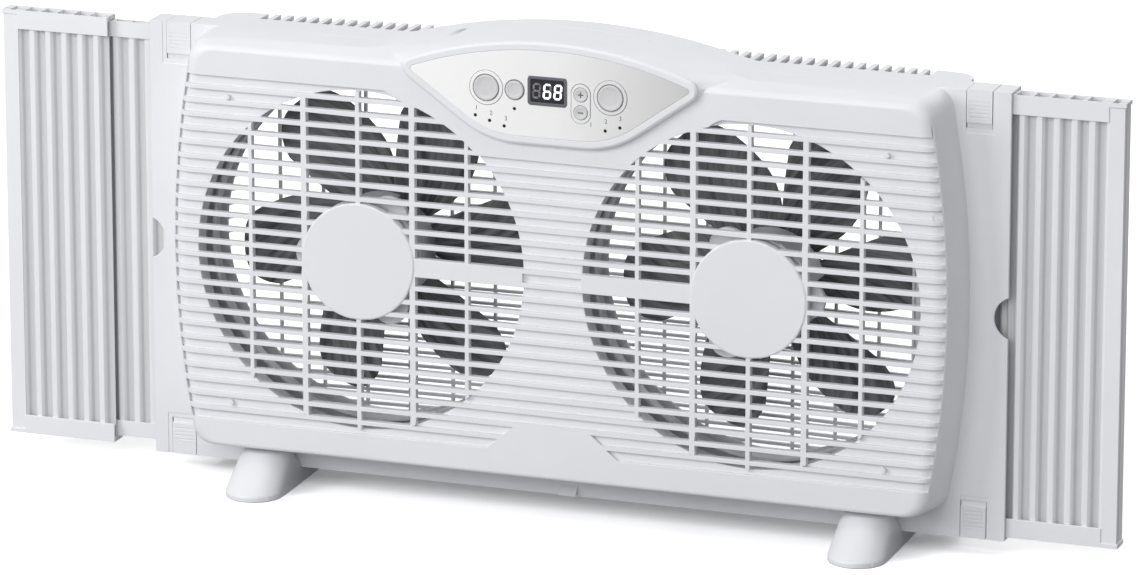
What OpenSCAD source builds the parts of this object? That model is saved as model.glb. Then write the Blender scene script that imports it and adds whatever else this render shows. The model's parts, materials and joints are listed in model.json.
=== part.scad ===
// Twin window fan: two reversible fans in a slim frame, with slide-out panels that fill the window.
// Sizes are in millimetres. The origin is the middle of the frame's underside.
// The front of the fan faces -Y, +X is to its right as seen from the front, and +Z is up.

/* [Frame] */
// Width of the fixed window frame
frame_w = 604.6; // [600:0.2:612]
// Height of the fixed window frame
frame_h = 302.6; // [302:0.2:304]
// Depth of the frame over both walls
frame_d = 21.8; // [21.8:0.1:23]
// Thickness of the frame's front and back walls
frame_wall = 2.4; // [2:0.1:2.4]
// Thickness of the frame's top and bottom walls
frame_edge = 1.6; // [1.2:0.1:1.6]

/* [Front cover] */
// Depth of the cover in front of the frame
cover_d = 37.6; // [36:0.2:42]
// Half width of the front face at mid height
cover_half_w = 271.5; // [269:0.5:272]
// How far each side wall flares out towards the frame
cover_flare = 5.1; // [3:0.1:6]
// Radius of the bowed side edges
cover_side_r = 680; // [640:10:760]
// Thickness of the slatted front face
face_t = 5; // [4.5:0.1:5.5]
// Distance from one slat to the next
rib_pitch = 9.66; // [9.5:0.01:9.8]
// Height of the gap between two slats
rib_gap = 6.56; // [6:0.02:7]
// Number of gaps from top to bottom
rib_rows = 25; // [25:1:25]
// Depth of the grooves outside the air openings
rib_depth = 3; // [2:0.1:3.2]

/* [Fans] */
// Distance between the two fan axes
fan_pitch = 274; // [270:1:276]
// Height of the fan axes above the frame's underside
fan_z = 158.9; // [158:0.1:160]
// Radius of each air opening
opening_r = 116.5; // [114:0.5:117]
// Radius of the plain disc in the middle of each opening
disc_r = 40; // [38:0.5:42]
// Radius of the blade tips
blade_tip_r = 113; // [108:0.5:113]
// Blades on each impeller
blade_count = 6; // [4:1:7]
// Distance between the upright bars of each opening
upright_pitch = 38.6; // [37:0.1:40]

/* [Side panels] */
// Width of each panel stage
stage_w = 78; // [74:1:78]
// Height of an outer stage
outer_h = 298.7; // [298:0.1:298.8]
// Height of an inner stage, which nests in the outer one
inner_h = 292.2; // [291:0.1:292.2]
// How far an outer stage overlaps its inner stage when drawn out
stage_overlap = 12; // [11:0.5:14]
// Distance from the middle to the drawn-out end of the left panel
left_reach = 412.6; // [400:0.2:420]
// Distance from the middle to the drawn-out end of the right panel
right_reach = 378; // [376:0.2:400]
// Distance between the ridges of a panel sheet
wave_pitch = 11.8; // [10:0.1:13]

/* [Control panel] */
// How far the control panel stands in front of the slats
panel_rise = 5; // [4:0.1:6]
// Width of the white rim round the lens
panel_rim = 5.7; // [5:0.1:6.5]
// Travel of each button
button_travel = 0.8; // [0.6:0.1:0.8]

/* [Feet] */
// Height of the frame's underside above the table
foot_h = 11.1; // [10:0.1:13]
// Width of each foot
foot_w = 39; // [34:1:42]
// Distance from the middle to each foot's own middle
foot_x = 213.5; // [205:0.5:220]

/* [Locks] */
// Travel of each corner lock
lock_travel = 3.2; // [2:0.1:3.2]

/* [Hidden] */
$fn = 48;

WHITE = [0.94, 0.94, 0.95];
GREY = [0.36, 0.38, 0.41];
STEEL = [0.72, 0.73, 0.75];

mid_z = frame_h / 2;
front_y = -frame_d / 2;
back_y = frame_d / 2;
face_y = front_y - cover_d;
face_back = face_y + face_t;
fan_dx = fan_pitch / 2;

// Channel that the side panels slide in
channel_y0 = front_y + frame_wall;
channel_y1 = back_y - frame_wall;
channel_h = frame_h - 2 * frame_edge;

// Rows of slats: upper edge of the first gap, and the plain bands over and under the rows
rib_top = fan_z + 118.6;
face_z0 = fan_z - 138;
face_z1 = fan_z + 138.5;
cover_wall = 2.4;
edge_round = 3;
side_roll_w = 9;
side_roll_d = 7;
groove_end = 0.8;
corner_r = 14;
bevel_d = 12;
base_drop = 3;
upright_w = [3.1, 4, 2.8];
ring_t = 2.4;
ring_back = face_back + 11;
lip_front = front_y - 6.1;
frame_hole_r = 118;
disc_rise = 0.8;
peg_r = 1.7;
peg_places = [[230.2, fan_z + 104.6], [230.2, fan_z - 107]];

// Screw posts that join the cover to the frame
cover_screws = [[200, fan_z + 122], [200, fan_z - 122], [16, fan_z - 110]];

// Control panel outline: top arc, flat bottom with rounded corners, slanted sides and small tips
panel_top_r = 274;
panel_top_z = fan_z + 156;
panel_low_z = fan_z + 97.5;
panel_slope = 35.2;
panel_corner_r = 60;
panel_corner_x = 23.5;
panel_tip_r = 2;
lens_y = face_y - panel_rise;
lens_t = 1.9;
seat_y = lens_y + 2;
web_y = seat_y + 1.5;
hump_r = 429;
hump_z = fan_z + 162.5;
hump_front = face_y - 2;
hump_edge_y = front_y - 23;
blend_r = 120;
hump_mid_z = hump_z - hump_r;
blend_x = sqrt(pow(hump_r + blend_r, 2) - pow(frame_h + blend_r - hump_mid_z, 2));
blend_a = atan2(frame_h + blend_r - hump_mid_z, blend_x);

// Buttons: place in X and Z, and radius of the cap
big_r = 8.6;
small_r = 6.2;
step_r = 4.7;
left_button_at = [-43.5, fan_z + 128.3];
small_button_at = [-23.6, fan_z + 128.3];
plus_button_at = [22.5, fan_z + 128.7];
minus_button_at = [22.5, fan_z + 116.7];
right_button_at = [43, fan_z + 128.3];
button_places = [left_button_at, small_button_at, plus_button_at, minus_button_at, right_button_at];
button_radii = [big_r, small_r, step_r, step_r, big_r];
button_gap = 0.3;
surround_r = 11.4;
cap_y = lens_y - 0.9;
display_at = [-0.8, fan_z + 129];
display_size = [26, 19];
pill_at = [22.5, fan_z + 122.5];
led_places = [
    [-51.2, fan_z + 109.1], [-41.2, fan_z + 106.2], [-31, fan_z + 103.3],
    [-23.8, fan_z + 115.6], [39.4, fan_z + 105.9], [49.6, fan_z + 108.8]
];
led_r = 1.1;
board_y = lens_y + 9.5;
board_t = 1.6;
board_posts = [[64, fan_z + 134.5], [14, fan_z + 106.5]];

// Motors: behind the discs, clear of the panels' path
motor_y0 = face_back + 5.5;
motor_y1 = 0;
motor_r = 37;
motor_wall = 2;
lobe_at_r = 36;
lobe_r = 13;
shaft_r = 3;
bush_r = 5.5;
screw_at_r = 33;
rotor_r = 16;
stator_r = motor_r - motor_wall;

// Impellers: between the frame's back wall and the rear basket
hub_r = 26;
hub_y0 = 9.5;
hub_y1 = 32;
blade_y = 21.5;
blade_half_depth = 11;
blade_t = 2;

// Rear basket
basket_half_w = 266;
basket_z0 = 1.9;
basket_z1 = 300.9;
basket_mid_y = 50.5;
basket_bow_r = 2846;
basket_corner_r = 17;
basket_t = 2.2;
basket_bar = 1.9;
basket_upright_pitch = 30.6;
basket_slot_pitch = 9;
basket_rim = 12;
basket_screws = [[200, 295], [200, 8], [14, 295], [14, 8]];

// Side panel rails, measured from the panel's own mid height
rail_t = 1.4;
rail_h = 13;
rail_web = 1.3;
outer_y0 = channel_y0 + 0.9;
outer_y1 = channel_y0 + 15.5;
outer_web_z = 146.4;
outer_sheet_y0 = outer_y0 + rail_t;
outer_sheet_y1 = outer_y0 + 6;
inner_y0 = outer_sheet_y1 + 0.4;
inner_y1 = outer_y1 - rail_t - 0.3;
inner_rail_t = 1.2;
inner_rail_h = 11;
sheet_t = 1.1;
pocket_pitch = 11.9;
pocket_w = 9.4;
stile_w = 11.6;
stile_step = 0.8;
shoe_w = 3;
stop_x = 209;
left_inner_x = left_reach - 2 * stage_w + stage_overlap;
right_inner_x = right_reach - 2 * stage_w + stage_overlap;

// Corner locks
lock_x0 = 272.2;
lock_w = 17.2;
lock_pad_h = 21.9;
lock_gap = 0.4;
lock_border = 3.3;
lock_tongue = 3.8;
lock_pad_y1 = channel_y0 - 0.1;
lock_rebate_y = front_y + frame_wall / 2;

// Feet
foot_front = face_y - 20;
foot_back = 56;
foot_top = face_z0 - base_drop - 0.8;
foot_seat = 0.4;
foot_screw_y = 0;

// Grommet for the supply cord
gland_x = 92;
gland_y = -24;
gland_r = 5;

// ---------------------------------------------------------------- outlines

// Points of an arc from angle a0 to a1, with the first and last `skip` points left out.
function arc(cx, cz, r, a0, a1, n, skip = 0) =
    [for (i = [skip : n - skip]) let (a = a0 + (a1 - a0) * i / n) [cx + r * cos(a), cz + r * sin(a)]];

// A half outline, drawn upwards on the right, closed with its mirror image on the left.
function closed(pts) = concat(pts, [for (i = [len(pts) - 1 : -1 : 0]) [-pts[i][0], pts[i][1]]]);

// Middle of a corner arc of radius r that touches the bowed side edge from inside.
function side_corner_x(hw, r, dz) =
    hw - cover_side_r + sqrt(pow(cover_side_r - r, 2) - pow(dz, 2));

// Cover outline with bowed sides: half width, lower edge, upper edge and corner radius.
function cover_pts(hw, z0, z1, r) =
    let (
        low = z0 + r - fan_z,
        high = z1 - r - fan_z,
        a_low = asin(low / (cover_side_r - r)),
        a_high = asin(high / (cover_side_r - r))
    )
    closed(concat(
        arc(side_corner_x(hw, r, low), z0 + r, r, -90, a_low, 5),
        arc(hw - cover_side_r, fan_z, cover_side_r, a_low, a_high, 8, 1),
        arc(side_corner_x(hw, r, high), z1 - r, r, a_high, 90, 5)
    ));

// Middle of the small circle that rounds the control panel's tip.
function panel_tip() =
    let (
        far = panel_corner_r - panel_tip_r,
        start = [panel_corner_x + far * sin(panel_slope),
                 panel_low_z + panel_corner_r - far * cos(panel_slope)],
        along = [cos(panel_slope), sin(panel_slope)],
        d = start - [0, panel_top_z - panel_top_r],
        step = -d * along + sqrt(pow(d * along, 2) - d * d + pow(panel_top_r - panel_tip_r, 2))
    )
    start + step * along;

// Control panel outline, grown outwards by g.
function panel_pts(g) =
    let (
        tip = panel_tip(),
        top_z = panel_top_z - panel_top_r,
        a_top = atan2(tip[1] - top_z, tip[0])
    )
    closed(concat(
        arc(panel_corner_x, panel_low_z + panel_corner_r, panel_corner_r + g, -90, panel_slope - 90, 6),
        arc(tip[0], tip[1], panel_tip_r + g, panel_slope - 90, a_top, 6),
        arc(0, top_z, panel_top_r + g, a_top, 90, 10, 1)
    ));

// Hump over the control panel, shrunk by g, closed by a straight base inside the cover.
function hump_pts(g) =
    let (a_end = asin((frame_h - g - hump_mid_z) / (hump_r - g)))
    concat(
        arc(0, hump_mid_z, hump_r - g, a_end, 180 - a_end, 28),
        [[-110, fan_z + 130], [110, fan_z + 130]]
    );

// Concave foot of the hump on the right, where it runs out into the level top.
function hump_blend_pts() =
    let (foot = arc(blend_x, frame_h + blend_r, blend_r, 180 + blend_a, 270, 6))
    concat(foot, [[blend_x, frame_h - 0.4], [foot[0][0] - 10, frame_h - 0.4], [foot[0][0] - 10, foot[0][1]]]);

// Plan of the rear basket in X and Y, shrunk by g: straight ends, round corners and a bowed back.
function basket_pts(g) =
    let (
        bow_y = basket_mid_y - basket_bow_r,
        cx = basket_half_w - basket_corner_r,
        cy = bow_y + sqrt(pow(basket_bow_r - basket_corner_r, 2) - pow(cx, 2)),
        a_bow = atan2(cy - bow_y, cx)
    )
    closed(concat(
        [[basket_half_w - g, back_y]],
        arc(cx, cy, basket_corner_r - g, 0, a_bow, 6),
        arc(0, bow_y, basket_bow_r - g, a_bow, 90, 8, 1)
    ));

// ---------------------------------------------------------------- helpers

// Extrudes a shape drawn in X and Z from depth y0 to depth y1.
module slab(y0, y1) {
    translate([0, y1, 0])
        rotate([90, 0, 0])
            linear_extrude(height = y1 - y0)
                children();
}

// Extrudes a shape drawn in Y and Z from x0 to x1.
module cross_slab(x0, x1) {
    translate([x0, 0, 0])
        rotate([90, 0, 90])
            linear_extrude(height = x1 - x0)
                children();
}

// A round bar along Y.
module rod(y0, y1, r) {
    slab(y0, y1) circle(r = r);
}

// A tube along Y.
module tube(y0, y1, r, bore) {
    slab(y0, y1) difference() {
        circle(r = r);
        circle(r = bore);
    }
}

// A box given by its corners.
module block(low, high) {
    translate(low) cube(high - low);
}

module at(place) {
    translate([place[0], 0, place[1]]) children();
}

module both_sides() {
    children();
    mirror([1, 0, 0]) children();
}

// The same thing at the top and, turned over, at the bottom of the frame.
module top_and_bottom() {
    children();
    turned_over() children();
}

module turned_over() {
    translate([0, 0, mid_z]) mirror([0, 0, 1]) translate([0, 0, -mid_z]) children();
}

module at_fan(side) {
    translate([side * fan_dx, 0, fan_z]) children();
}

// A pan head screw pointing along -Y, with its head's underside at depth y.
module screw(y, length, r, head_r, head_h) {
    rod(y - length, y + 0.01, r);
    rod(y, y + head_h, head_r);
}

// ---------------------------------------------------------------- front cover

// Inset at depth d of an edge that rolls back over a width w and a depth h.
function roll_inset(d, w, h) = w * (1 - sqrt(1 - pow(1 - min(d / h, 1), 2)));

// A thin slice of the cover at depth y, shrunk by gx at the sides and by gz above and below.
module cover_slice(y, gx, gz) {
    t = (y - face_y) / cover_d;
    rise = min((y - face_y) / bevel_d, 1);
    hw = cover_half_w + cover_flare * t - gx;
    z0 = face_z0 - base_drop * t + gz;
    z1 = face_z1 + (frame_h - face_z1) * rise - gz;
    slab(y, y + 0.02) polygon(cover_pts(hw, z0, z1, corner_r - gz));
}

// The front face rolls back softly at its sides, and its upper and lower edges have a small round.
module cover_body() {
    hull() {
        for (d = [0, 0.3, 1, 2, 3, 4.5, side_roll_d])
            cover_slice(face_y + d, roll_inset(d, side_roll_w, side_roll_d),
                        roll_inset(d, edge_round, edge_round));
        cover_slice(face_y + bevel_d, 0, 0);
        cover_slice(front_y - 0.02, 0, 0);
    }
}

module cover_cavity() {
    hull() {
        for (d = [0, 1, 3, side_roll_d])
            cover_slice(face_back + d, cover_wall + roll_inset(d, side_roll_w, side_roll_d),
                        cover_wall + 1 - d / side_roll_d);
        cover_slice(front_y, cover_wall, cover_wall);
    }
}

// The hump rises from the control panel's rim to the level strip along its top.
module cover_hump() {
    hull() {
        slab(hump_front, hump_front + 0.02) polygon(panel_pts(panel_rim));
        slab(hump_edge_y, front_y) polygon(hump_pts(0));
    }
    both_sides() intersection() {
        slab(face_y + bevel_d, front_y) polygon(hump_blend_pts());
        cross_slab(90, 150) polygon([
            [face_y + bevel_d, frame_h - 2],
            [face_y + bevel_d, frame_h],
            [face_y + 2 * bevel_d, 2 * frame_h - face_z1],
            [front_y, 2 * frame_h - face_z1],
            [front_y, frame_h - 2]
        ]);
    }
}

module hump_cavity() {
    hull() {
        slab(web_y, web_y + 0.02) polygon(panel_pts(-2));
        slab(hump_edge_y + 2, front_y + 1) polygon(hump_pts(cover_wall));
    }
}

module control_island() {
    hull() {
        slab(lens_y, lens_y + 0.02) polygon(panel_pts(panel_rim - 1.6));
        slab(lens_y + 1.2, face_back) polygon(panel_pts(panel_rim));
    }
}

// The plain nameplate ground at the foot of the slats, left bare.
module plate_ground() {
    polygon([[-26, fan_z - 102.4], [26, fan_z - 102.4], [47.4, fan_z - 120.5], [-47.4, fan_z - 120.5]]);
}

// The rows between the slats, across a width of 2 * half_w, about the fan's height.
module gap_rows(half_w) {
    for (k = [0 : rib_rows - 1])
        translate([-half_w, rib_top - fan_z - k * rib_pitch - rib_gap]) square([2 * half_w, rib_gap]);
}

// What stays solid inside one opening: disc, upright bars and the wire channel towards the middle.
module opening_solids(side) {
    circle(r = disc_r);
    for (i = [-2 : 2])
        translate([i * upright_pitch - upright_w[abs(i)] / 2, -opening_r - 1])
            square([upright_w[abs(i)], 2 * opening_r + 2]);
    translate([side > 0 ? -opening_r - 3 : 0, -rib_pitch / 2]) square([opening_r + 3, rib_pitch]);
}

module opening_gaps(side) {
    difference() {
        intersection() {
            circle(r = opening_r);
            gap_rows(opening_r + 1);
        }
        opening_solids(side);
    }
}

module face_grooves() {
    difference() {
        intersection() {
            translate([0, fan_z]) gap_rows(frame_w / 2);
            polygon(cover_pts(cover_half_w - groove_end, face_z0, face_z1, corner_r));
        }
        polygon(panel_pts(panel_rim + 2));
        plate_ground();
        for (side = [-1, 1])
            translate([side * fan_dx, fan_z]) intersection() {
                circle(r = opening_r);
                opening_solids(side);
            }
    }
}

// The grooves keep their depth where the face rolls back, and stop just short of the side walls.
module rolled_grooves() {
    difference() {
        slab(face_y - 1, face_y + side_roll_d + rib_depth) face_grooves();
        translate([0, rib_depth, 0]) cover_body();
    }
}

module disc_face() {
    rotate([90, 0, 0])
        rotate_extrude()
            polygon([
                [0, 0], [disc_r, 0], [disc_r, disc_rise - 0.5], [disc_r - 1, disc_rise], [0, disc_rise]
            ]);
}

module control_cutouts() {
    for (i = [0 : len(button_places) - 1])
        at(button_places[i]) rod(lens_y, web_y + 1, button_radii[i] + button_gap);
    for (p = led_places) at(p) rod(lens_y, web_y + 1, led_r + 0.05);
    at(display_at) slab(lens_y, web_y + 1) square(display_size - [1.6, 1.6], center = true);
}

module front_cover() {
    color(WHITE) {
        difference() {
            union() {
                cover_body();
                control_island();
                cover_hump();
            }
            cover_cavity();
            hump_cavity();
            slab(web_y, face_back + 1) polygon(panel_pts(-2));
            slab(lens_y - 1, seat_y) polygon(panel_pts(0.1));
            control_cutouts();
            rolled_grooves();
            for (side = [-1, 1]) at_fan(side) slab(face_y - 1, face_back + 1) opening_gaps(side);
            translate([gland_x, gland_y, 0]) cylinder(r = gland_r, h = 60);
        }
        for (side = [-1, 1]) at_fan(side) {
            translate([0, face_y, 0]) disc_face();
            tube(face_back - 0.5, ring_back, opening_r + ring_t, opening_r);
            for (i = [0 : 2]) rotate([0, lobe_turn(side) + 120 * i, 0]) translate([screw_at_r, 0, 0])
                tube(face_back - 0.5, motor_y0, 4.4, 1.4);
        }
        for (p = peg_places) both_sides() at(p) rod(face_y + 0.3, face_back - 0.5, peg_r);
        for (p = cover_screws) both_sides() at(p) tube(face_back - 0.5, front_y, 4.5, 1.6);
        for (p = board_posts) both_sides() at(p) tube(web_y - 0.2, board_y, 3, 1);
    }
}

// ---------------------------------------------------------------- main frame

// Room for a corner lock: its pad's way, the rebate for its tongue, its top plate's way and a sunk border.
module lock_slots() {
    x0 = lock_x0 - lock_gap;
    x1 = lock_x0 + lock_w + lock_gap;
    pad_end = frame_h - lock_pad_h - lock_travel - 0.5;
    tongue_end = pad_end - lock_travel - lock_tongue - 0.2;
    block([x0, front_y - 1, pad_end], [x1, channel_y0 + 0.1, frame_h + 1]);
    block([x0, lock_rebate_y, tongue_end], [x1, channel_y0 + 0.1, frame_h + 1]);
    block([x0, front_y - 1, frame_h - frame_edge - lock_travel - 0.4], [x1, back_y + 1, frame_h + 1]);
    block([x0, front_y - 1, pad_end - lock_border],
          [lock_x0 + lock_w + lock_border, front_y + 0.5, frame_h + 1]);
}

module main_frame() {
    color(WHITE) {
        difference() {
            block([-frame_w / 2, front_y, 0], [frame_w / 2, back_y, frame_h]);
            block([-frame_w / 2 - 1, channel_y0, frame_edge],
                  [frame_w / 2 + 1, channel_y1, frame_h - frame_edge]);
            for (side = [-1, 1]) at_fan(side) rod(front_y - 1, back_y + 1, frame_hole_r);
            both_sides() top_and_bottom() lock_slots();
            both_sides() translate([frame_w / 2 + 5.4, 0, mid_z]) rod(front_y - 1, channel_y0 + 0.1, 15);
            for (p = cover_screws) both_sides() at(p) rod(front_y - 1, channel_y0 + 1, 1.8);
            for (p = basket_screws) both_sides() at(p) rod(channel_y1 - 1, back_y + 1, 1.4);
            both_sides() translate([foot_x, 0, 0]) {
                block([-foot_w / 2 - 0.2, front_y - 1, -1], [foot_w / 2 + 0.2, back_y + 1, foot_seat]);
                translate([0, foot_screw_y, -1]) cylinder(r = 1.45, h = frame_edge + 2);
            }
        }
        for (side = [-1, 1]) at_fan(side) tube(lip_front, channel_y0, opening_r + ring_t, opening_r);
        for (p = basket_screws) both_sides() at(p) tube(channel_y1 - 6, channel_y1 + 0.2, 4, 1.4);
        block([-1.2, channel_y0 - 0.2, frame_edge - 0.2],
              [1.2, channel_y1 + 0.2, frame_h - frame_edge + 0.2]);
        both_sides() top_and_bottom()
            block([stop_x, channel_y0 - 0.2, frame_h - frame_edge - 12],
                  [stop_x + 2, channel_y1 + 0.2, frame_h - 1]);
        frame_hump();
        cross_slab(-7.5, 5) polygon([[front_y + 0.2, 1], [front_y + 0.2, 8], [front_y - 5, 1]]);
    }
}

// The rear part of the hump, open to the front so that wires can pass.
module frame_hump() {
    both_sides() slab(front_y, back_y) polygon(hump_blend_pts());
    difference() {
        intersection() {
            slab(front_y, back_y) polygon(hump_pts(0));
            block([-130, front_y, frame_h - 0.4], [130, back_y, frame_h + 30]);
        }
        intersection() {
            slab(front_y - 1, channel_y1) polygon(hump_pts(cover_wall));
            block([-130, front_y - 1, frame_h], [130, channel_y1, frame_h + 30]);
        }
    }
}

// ---------------------------------------------------------------- rear grille

module basket_windows() {
    for (k = [-15 : 13])
        translate([0, fan_z + k * rib_pitch + basket_bar / 2]) {
            for (side = [-1, 1])
                for (i = [-3 : 2])
                    translate([side * fan_dx + i * basket_upright_pitch + basket_bar / 2, 0])
                        square([basket_upright_pitch - basket_bar, rib_pitch - basket_bar]);
            both_sides() translate([fan_dx + 3 * basket_upright_pitch + basket_bar / 2, 0])
                square([60, rib_pitch - basket_bar]);
            translate([basket_bar / 2 - fan_dx + 3 * basket_upright_pitch, 0])
                square([fan_pitch - 6 * basket_upright_pitch - basket_bar, rib_pitch - basket_bar]);
        }
}

// Slots across the rear edge of the top and bottom plates.
module basket_edge_slots() {
    for (i = [-26 : 26])
        translate([i * basket_slot_pitch - 2.4, 0, 0]) children();
}

module rear_grille() {
    color(WHITE) difference() {
        union() {
            difference() {
                translate([0, 0, basket_z0])
                    linear_extrude(height = basket_z1 - basket_z0)
                        polygon(basket_pts(0));
                translate([0, -1, basket_z0 + basket_t])
                    linear_extrude(height = basket_z1 - basket_z0 - 2 * basket_t)
                        polygon(basket_pts(basket_t));
            }
            slab(back_y, back_y + 2.4) difference() {
                translate([-basket_half_w, basket_z0]) square([2 * basket_half_w, basket_z1 - basket_z0]);
                translate([-basket_half_w + 8, basket_z0 + basket_rim])
                    square([2 * basket_half_w - 16, basket_z1 - basket_z0 - 2 * basket_rim]);
            }
        }
        slab(back_y + 2.4, basket_mid_y + 5) basket_windows();
        for (z = [basket_z0, basket_z1])
            basket_edge_slots() block([0, back_y + 14, z - 3.4], [4.8, basket_mid_y + 5, z + 3.4]);
        for (p = basket_screws) both_sides() at(p) rod(back_y - 1, back_y + 3, 1.8);
    }
}

// ---------------------------------------------------------------- controls

module control_lens() {
    color([0.85, 0.86, 0.87]) difference() {
        union() {
            slab(lens_y, lens_y + lens_t) polygon(panel_pts(0));
            for (p = [left_button_at, right_button_at])
                at(p) tube(lens_y - 0.4, lens_y + 0.1, surround_r, big_r + button_gap);
            slab(lens_y - 0.4, lens_y + 0.1) pill();
        }
        for (i = [0 : len(button_places) - 1])
            at(button_places[i]) rod(lens_y - 1, lens_y + 3, button_radii[i] + button_gap);
        for (p = led_places) at(p) rod(lens_y - 1, lens_y + 3, led_r + 0.05);
        at(display_at) slab(lens_y - 1, lens_y + 3) square(display_size + [0.1, 0.1], center = true);
    }
}

// Raised surround of the two step buttons.
module pill() {
    translate(pill_at) {
        square([13, 13.2], center = true);
        for (s = [-1, 1]) translate([0, s * 6.6]) circle(r = 6.5);
    }
}

module display_window() {
    color([0.05, 0.05, 0.06]) at(display_at)
        slab(lens_y - 0.2, lens_y + 1.3) square(display_size, center = true);
}

module display_module() {
    color([0.12, 0.12, 0.13]) at(display_at)
        slab(lens_y + 1.4, board_y) square(display_size - [2, 2], center = true);
}

// A sprung cap with a retaining flange behind the panel and a stem that reaches its switch.
module button(place, r) {
    color(WHITE) at(place) {
        rod(cap_y, web_y + 0.5, r);
        rod(web_y + 0.3, web_y + 1.1, r + 1);
        rod(web_y + 1, board_y - 2.4, 1.8);
    }
}

module led_pipes() {
    color([0.2, 0.2, 0.22]) for (p = led_places) at(p) rod(lens_y - 0.05, board_y - 0.3, led_r);
}

// A connector, relay or chip on the back of the board.
module board_part(place, size, height) {
    at(place) slab(board_y + board_t - 0.1, board_y + board_t + height) square(size, center = true);
}

module control_board() {
    color([0.1, 0.38, 0.22]) {
        difference() {
            slab(board_y, board_y + board_t) polygon(closed([
                [26, fan_z + 103.6],
                [46, fan_z + 106.6],
                [74, fan_z + 126.6],
                [74, fan_z + 140],
                [40, fan_z + 147]
            ]));
            for (p = board_posts) both_sides() at(p) rod(board_y - 1, board_y + 3, 1.2);
        }
        for (p = button_places) at(p) {
            slab(board_y - 1.1, board_y + 0.1) square(6, center = true);
            rod(board_y - 1.4, board_y - 1, 1.6);
        }
        board_part([-44, fan_z + 128], [18, 9], 7);
        board_part([30, fan_z + 130], [22, 15], 12);
        board_part([0, fan_z + 118], [12, 12], 2);
    }
}

// ---------------------------------------------------------------- motors and impellers

function lobe_turn(side) = side > 0 ? 0 : 180;

module motor_outline() {
    circle(r = disc_r);
    for (i = [0 : 2]) rotate(120 * i) translate([lobe_at_r, 0]) circle(r = lobe_r);
}

module motor_housing(side) {
    color(WHITE) at_fan(side) rotate([0, lobe_turn(side), 0]) difference() {
        union() {
            slab(motor_y0, motor_y0 + 4) motor_outline();
            rod(motor_y0, motor_y1, motor_r);
            rod(motor_y1 - 1, motor_y1 + 3, 8);
        }
        rod(motor_y0 + 2.4, motor_y1 - 2, stator_r);
        rod(motor_y0 - 1, motor_y1 + 4, bush_r);
        for (i = [0 : 2]) rotate([0, -120 * i, 0]) translate([screw_at_r, 0, 0]) {
            rod(motor_y0 - 1, motor_y1 + 5, 1.8);
        }
        for (i = [0 : 2]) rotate([0, -120 * i, 0]) translate([screw_at_r + 5, 0, 0])
            rod(motor_y0 + 4, motor_y1 + 1, 7.6);
    }
}

module stator(side) {
    color(STEEL) at_fan(side) slab(-26, -8) {
        difference() {
            circle(r = stator_r - 0.05);
            circle(r = stator_r - 5);
        }
        for (i = [0 : 5]) rotate(60 * i + 30) {
            translate([rotor_r + 3, -3]) square([stator_r - rotor_r - 6, 6]);
            translate([rotor_r + 1, -6]) square([3, 12]);
        }
    }
}

module rotor_shaft(side) {
    color(STEEL) at_fan(side) {
        rod(-27, -7, rotor_r);
        rod(motor_y0 + 0.6, hub_y1 + 5.5, shaft_r);
    }
}

module bearings(side) {
    color([0.7, 0.55, 0.3]) at_fan(side) {
        tube(motor_y0, motor_y0 + 6, bush_r, shaft_r + 0.05);
        tube(motor_y1 - 4, motor_y1 + 3, bush_r, shaft_r + 0.05);
    }
}

// Blade surface: u runs over the chord from -1 to 1, v from root to tip.
blade_nu = 8;
blade_nv = 8;
blade_root_r = hub_r - 2;
function blade_reach(u) = blade_tip_r - 24 * pow(abs(u), 3.2);
function blade_half_angle(v) = 30 - 10.5 * v + 3 * sin(180 * v);
function blade_depth(v) = blade_half_depth * (0.86 + 0.14 * sin(150 * v));
function blade_point(u, v, lift) =
    let (
        r = blade_root_r + (blade_reach(u) - blade_root_r) * v,
        a = u * blade_half_angle(v) + 9 * v * v,
        y = blade_y + u * blade_depth(v) * (1 - 0.16 * v) + 3.2 * (1 - u * u) - 1.6 + lift
    )
    [r * cos(a), y, r * sin(a)];

module blade() {
    row = blade_nu + 1;
    sheet = row * (blade_nv + 1);
    points = [for (lift = [-blade_t / 2, blade_t / 2]) for (j = [0 : blade_nv]) for (i = [0 : blade_nu])
        blade_point(2 * i / blade_nu - 1, j / blade_nv, lift)];
    function quad(a, b, c, d) = [[a, b, c], [a, c, d]];
    skins = [for (j = [0 : blade_nv - 1]) for (i = [0 : blade_nu - 1])
        let (a = j * row + i, b = a + 1, c = b + row, d = a + row)
        concat(quad(a, b, c, d), quad(sheet + d, sheet + c, sheet + b, sheet + a))];
    ends = [for (i = [0 : blade_nu - 1])
        let (a = i, b = i + blade_nv * row)
        concat(quad(a, a + sheet, a + 1 + sheet, a + 1), quad(b + 1, b + 1 + sheet, b + sheet, b))];
    edges = [for (j = [0 : blade_nv - 1])
        let (a = j * row, b = a + blade_nu)
        concat(quad(a + row, a + row + sheet, a + sheet, a), quad(b, b + sheet, b + row + sheet, b + row))];
    polyhedron(points = points, faces = [for (set = [skins, ends, edges]) for (f = set) each f]);
}

module impeller(side) {
    color(GREY) at_fan(side) {
        difference() {
            union() {
                rod(hub_y0, hub_y1, hub_r);
                for (i = [0 : blade_count - 1]) rotate([0, -360 * i / blade_count - 4, 0]) blade();
            }
            tube(hub_y0 - 1, hub_y1 - 2.5, hub_r - 2.5, 7);
            rod(hub_y0 - 1, hub_y1 + 1, shaft_r);
        }
    }
}

module impeller_nut(side) {
    color(GREY) at_fan(side) difference() {
        union() {
            rod(hub_y1, hub_y1 + 2, 9);
            rod(hub_y1 + 1.9, hub_y1 + 6, 6.5);
        }
        rod(hub_y1 - 1, hub_y1 + 5.5, shaft_r);
    }
}

// ---------------------------------------------------------------- side panels

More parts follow.
